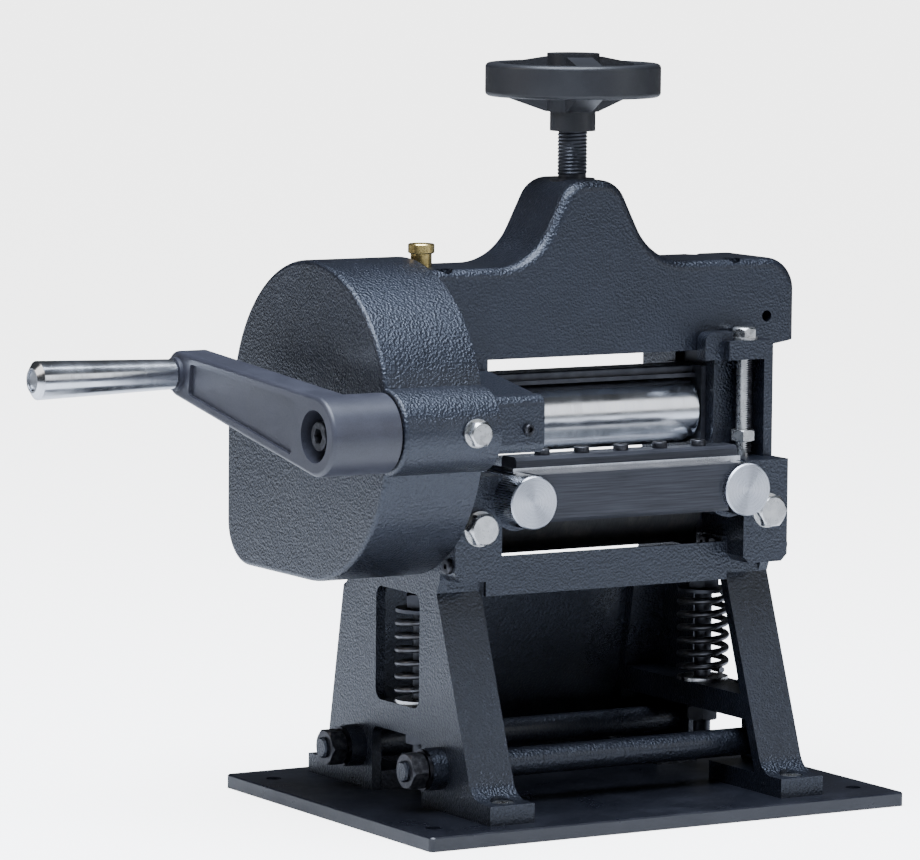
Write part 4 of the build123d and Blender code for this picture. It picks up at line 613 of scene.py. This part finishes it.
class SPLITTER_OT_knife_carrier(bpy.types.Operator):
    """Turn the ends of the knife rods and blacken the knife holder"""

    bl_idname = "splitter.knife_carrier"
    bl_label = "Knife carrier"

    def execute(self, context):
        paint(nodes_in("turned_aluminium"), turned_aluminium(context.scene.splitter.metal, "knife_rods"))
        paint(nodes_in("black_oxide"), black_oxide())
        return {"FINISHED"}


class SPLITTER_OT_machined(bpy.types.Operator):
    """Machine the bearing blocks, shafts and bars, and darken the spindle and the tie bars"""

    bl_idname = "splitter.machined"
    bl_label = "Machined steel"

    def execute(self, context):
        dark = ("spring_rods", "spring_caps", "spring_nuts", "height_spindle", "crosshead",
                "crosshead_keeper", "stripper_bar", "upper_left_block", "upper_right_block",
                "lower_left_block", "lower_right_block")
        paint([node for node in nodes_in("machined_steel") if node.name not in dark], machined_steel())
        paint([frame["nodes"][name] for name in dark], blackened_steel())
        # the tie bars are painted with the castings
        paint([frame["nodes"]["tie_bars"]], frame["nodes"]["top_beam"].data.materials[0])
        return {"FINISHED"}


class SPLITTER_OT_gears(bpy.types.Operator):
    """Finish the gears, bushes, screw nut and oil cup"""

    bl_idname = "splitter.gears"
    bl_label = "Gears, bushes and oil cup"

    def execute(self, context):
        metal = context.scene.splitter.metal
        paint(nodes_in("gear_steel"), gear_steel())
        paint(nodes_in("bronze"), warm_metal("bronze", metal.bronze, 0.28, 0.48))
        paint(nodes_in("brass_cup"), warm_metal("brass", metal.brass, 0.16, 0.34))
        return {"FINISHED"}


class SPLITTER_OT_springs(bpy.types.Operator):
    """Finish the two springs under the lower roller"""

    bl_idname = "splitter.springs"
    bl_label = "Springs"

    def execute(self, context):
        paint(nodes_in("spring_steel"), spring_steel())
        return {"FINISHED"}


class SPLITTER_OT_spindle_thread(bpy.types.Operator):
    """Cut the thread of the height spindle, between the beam and the handwheel"""

    bl_idname = "splitter.spindle_thread"
    bl_label = "Spindle thread"

    def execute(self, context):
        # the gap above the nut leaves room for the spindle at its lowest
        lowering_room = 1.0 * MM
        spindle_radius = 8.0 * MM
        thread_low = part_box("screw_nut")[1].z + lowering_room
        thread_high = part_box("handwheel")[0].z
        thread = screw_thread("spindle_thread", "handwheel_body",
                              centre_of("height_spindle"), thread_low, thread_high, spindle_radius,
                              context.scene.splitter.thread.spindle_pitch)
        thread.data.materials.append(frame["nodes"]["height_spindle"].data.materials[0])
        return {"FINISHED"}


class SPLITTER_OT_height_screw_threads(bpy.types.Operator):
    """Cut the threads of the two screws that set the height of the knife blocks"""

    bl_idname = "splitter.height_screw_threads"
    bl_label = "Height screw threads"

    def execute(self, context):
        lug_thickness = 11.0 * MM
        screw_radius = 4.0 * MM
        nuts_low, nuts_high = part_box("height_lock_nuts")
        nut_half = (nuts_high.y - nuts_low.y) / 2
        lug_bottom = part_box("left_side_frame")[1].z - lug_thickness
        for side, name in ((-1, "left"), (1, "right")):
            block_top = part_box(name + "_knife_block")[1].z
            place = Vector((side * (nuts_high.x - nut_half), (nuts_low.y + nuts_high.y) / 2, 0))
            thread = screw_thread(name + "_height_screw_thread", "machine", place, block_top,
                                  lug_bottom, screw_radius, context.scene.splitter.thread.screw_pitch)
            # the black threads all but cover the bright zinc shanks: painted shade of the pocket between
            # the lug and the knife block
            thread.data.materials.append(frame["nodes"]["small_screws"].data.materials[0])
        return {"FINISHED"}


class SPLITTER_OT_stage(bpy.types.Operator):
    """Set up the floor, the room, the softboxes and the camera"""

    bl_idname = "splitter.stage"
    bl_label = "Studio"

    def execute(self, context):
        studio = context.scene.splitter.studio
        self.lay_floor(studio)
        self.light_room(context.scene, studio)
        self.softbox("softbox_above", studio.key_power, (-0.30, -0.35, 1.6), 1.5, (0.78, 0.86, 1.0))
        self.softbox("softbox_crank_side", studio.side_power, (-1.6, 0.5, 0.8), 0.9, (1.0, 0.93, 0.86))
        self.softbox("softbox_front", studio.front_power, (1.3, -1.6, 0.7), 1.1, (0.95, 0.97, 1.0))
        self.place_camera(context.scene, studio)
        return {"FINISHED"}

    def lay_floor(self, studio):
        deselect_all()
        floor_width = 80.0
        floor_gap = 0.2 * MM
        bpy.ops.mesh.primitive_grid_add(x_subdivisions=4, y_subdivisions=4, size=floor_width,
                                        location=(0, 0, cad_box[0][2] - floor_gap))
        floor = bpy.context.object
        floor.name = "floor"
        bpy.ops.object.transform_apply(location=True, rotation=True, scale=True)
        finish = Finish("pale_floor", 0.0, sheen=0.2)
        cloud = finish.grain(0.4, detail=2.0)
        finish.colour(finish.mixed(finish.spread(cloud, 0.0, 1.0), shade(studio.floor_colour, 0.985),
                                   studio.floor_colour))
        finish.shader.inputs["Roughness"].default_value = 0.75
        finish.shader.inputs["Emission Color"].default_value = (1.0, 1.0, 1.0, 1.0)
        seen = finish.add("ShaderNodeLightPath").outputs["Is Camera Ray"]
        finish.link(finish.spread(seen, studio.floor_bounce, studio.floor_glow, 0.0, 1.0),
                    finish.shader.inputs["Emission Strength"])
        floor.data.materials.append(finish.material)

    def light_room(self, scene, studio):
        world = bpy.data.worlds.new("white_room")
        scene.world = world
        world.use_nodes = True
        tree = world.node_tree
        background = tree.nodes["Background"]
        background.inputs["Color"].default_value = (0.90, 0.94, 1.0, 1.0)
        background.inputs["Strength"].default_value = studio.sky_strength
        backdrop = tree.nodes.new("ShaderNodeBackground")
        backdrop.inputs["Strength"].default_value = studio.floor_glow
        seen = tree.nodes.new("ShaderNodeLightPath")
        mix = tree.nodes.new("ShaderNodeMixShader")
        tree.links.new(seen.outputs["Is Camera Ray"], mix.inputs["Fac"])
        tree.links.new(background.outputs["Background"], mix.inputs[1])
        tree.links.new(backdrop.outputs["Background"], mix.inputs[2])
        tree.links.new(mix.outputs["Shader"], tree.nodes["World Output"].inputs["Surface"])

    def softbox(self, name, power, place, width, colour):
        deselect_all()
        bpy.ops.object.light_add(type="AREA", location=box_centre + Vector(place))
        lamp = bpy.context.object
        lamp.name = name
        lamp.data.shape = "SQUARE"
        lamp.data.size = width
        lamp.data.energy = power
        lamp.data.color = colour
        lamp.rotation_euler = Vector(place).to_track_quat("Z", "Y").to_euler()

    def place_camera(self, scene, studio):
        deselect_all()
        turn = (Matrix.Rotation(-studio.heading, 3, "Z")
                @ Matrix.Rotation(math.pi / 2 - studio.tilt, 3, "X")
                @ Matrix.Rotation(studio.roll, 3, "Z"))
        forward = turn @ Vector((0, 0, -1))
        aim = box_centre + Vector(studio.aim_offset)
        bpy.ops.object.camera_add(location=aim - forward * studio.distance, rotation=turn.to_euler())
        camera = bpy.context.object
        camera.name = "camera"
        camera.data.lens = studio.lens
        camera.data.sensor_width = 36.0
        camera.data.clip_end = 60.0
        scene.camera = camera


class SPLITTER_PT_panel(bpy.types.Panel):
    """Lists the steps that finish the machine"""

    bl_idname = "SPLITTER_PT_panel"
    bl_label = "Leather splitting machine"
    bl_space_type = "VIEW_3D"
    bl_region_type = "UI"
    bl_category = "Splitter"

    def draw(self, context):
        layout = self.layout
        for step in STEPS:
            layout.operator(step.bl_idname)
        settings = context.scene.splitter
        for group in (settings.enamel, settings.metal, settings.thread, settings.studio):
            block = layout.box()
            for field in group.__annotations__:
                block.prop(group, field)


STEPS = (SPLITTER_OT_castings, SPLITTER_OT_smooth_paint, SPLITTER_OT_fasteners, SPLITTER_OT_rollers,
         SPLITTER_OT_knife_carrier, SPLITTER_OT_machined, SPLITTER_OT_gears, SPLITTER_OT_springs,
         SPLITTER_OT_spindle_thread, SPLITTER_OT_height_screw_threads, SPLITTER_OT_stage)
CLASSES = (EnamelSettings, MetalSettings, ThreadSettings, StudioSettings, SplitterSettings,
           *STEPS, SPLITTER_PT_panel)


def register():
    for item in CLASSES:
        bpy.utils.register_class(item)
    bpy.types.Scene.splitter = bpy.props.PointerProperty(type=SplitterSettings)


def unregister():
    del bpy.types.Scene.splitter
    for item in reversed(CLASSES):
        bpy.utils.unregister_class(item)


def main():
    register()
    for step in STEPS:
        group, name = step.bl_idname.split(".")
        getattr(getattr(bpy.ops, group), name)()


if __name__ == "__main__":
    main()
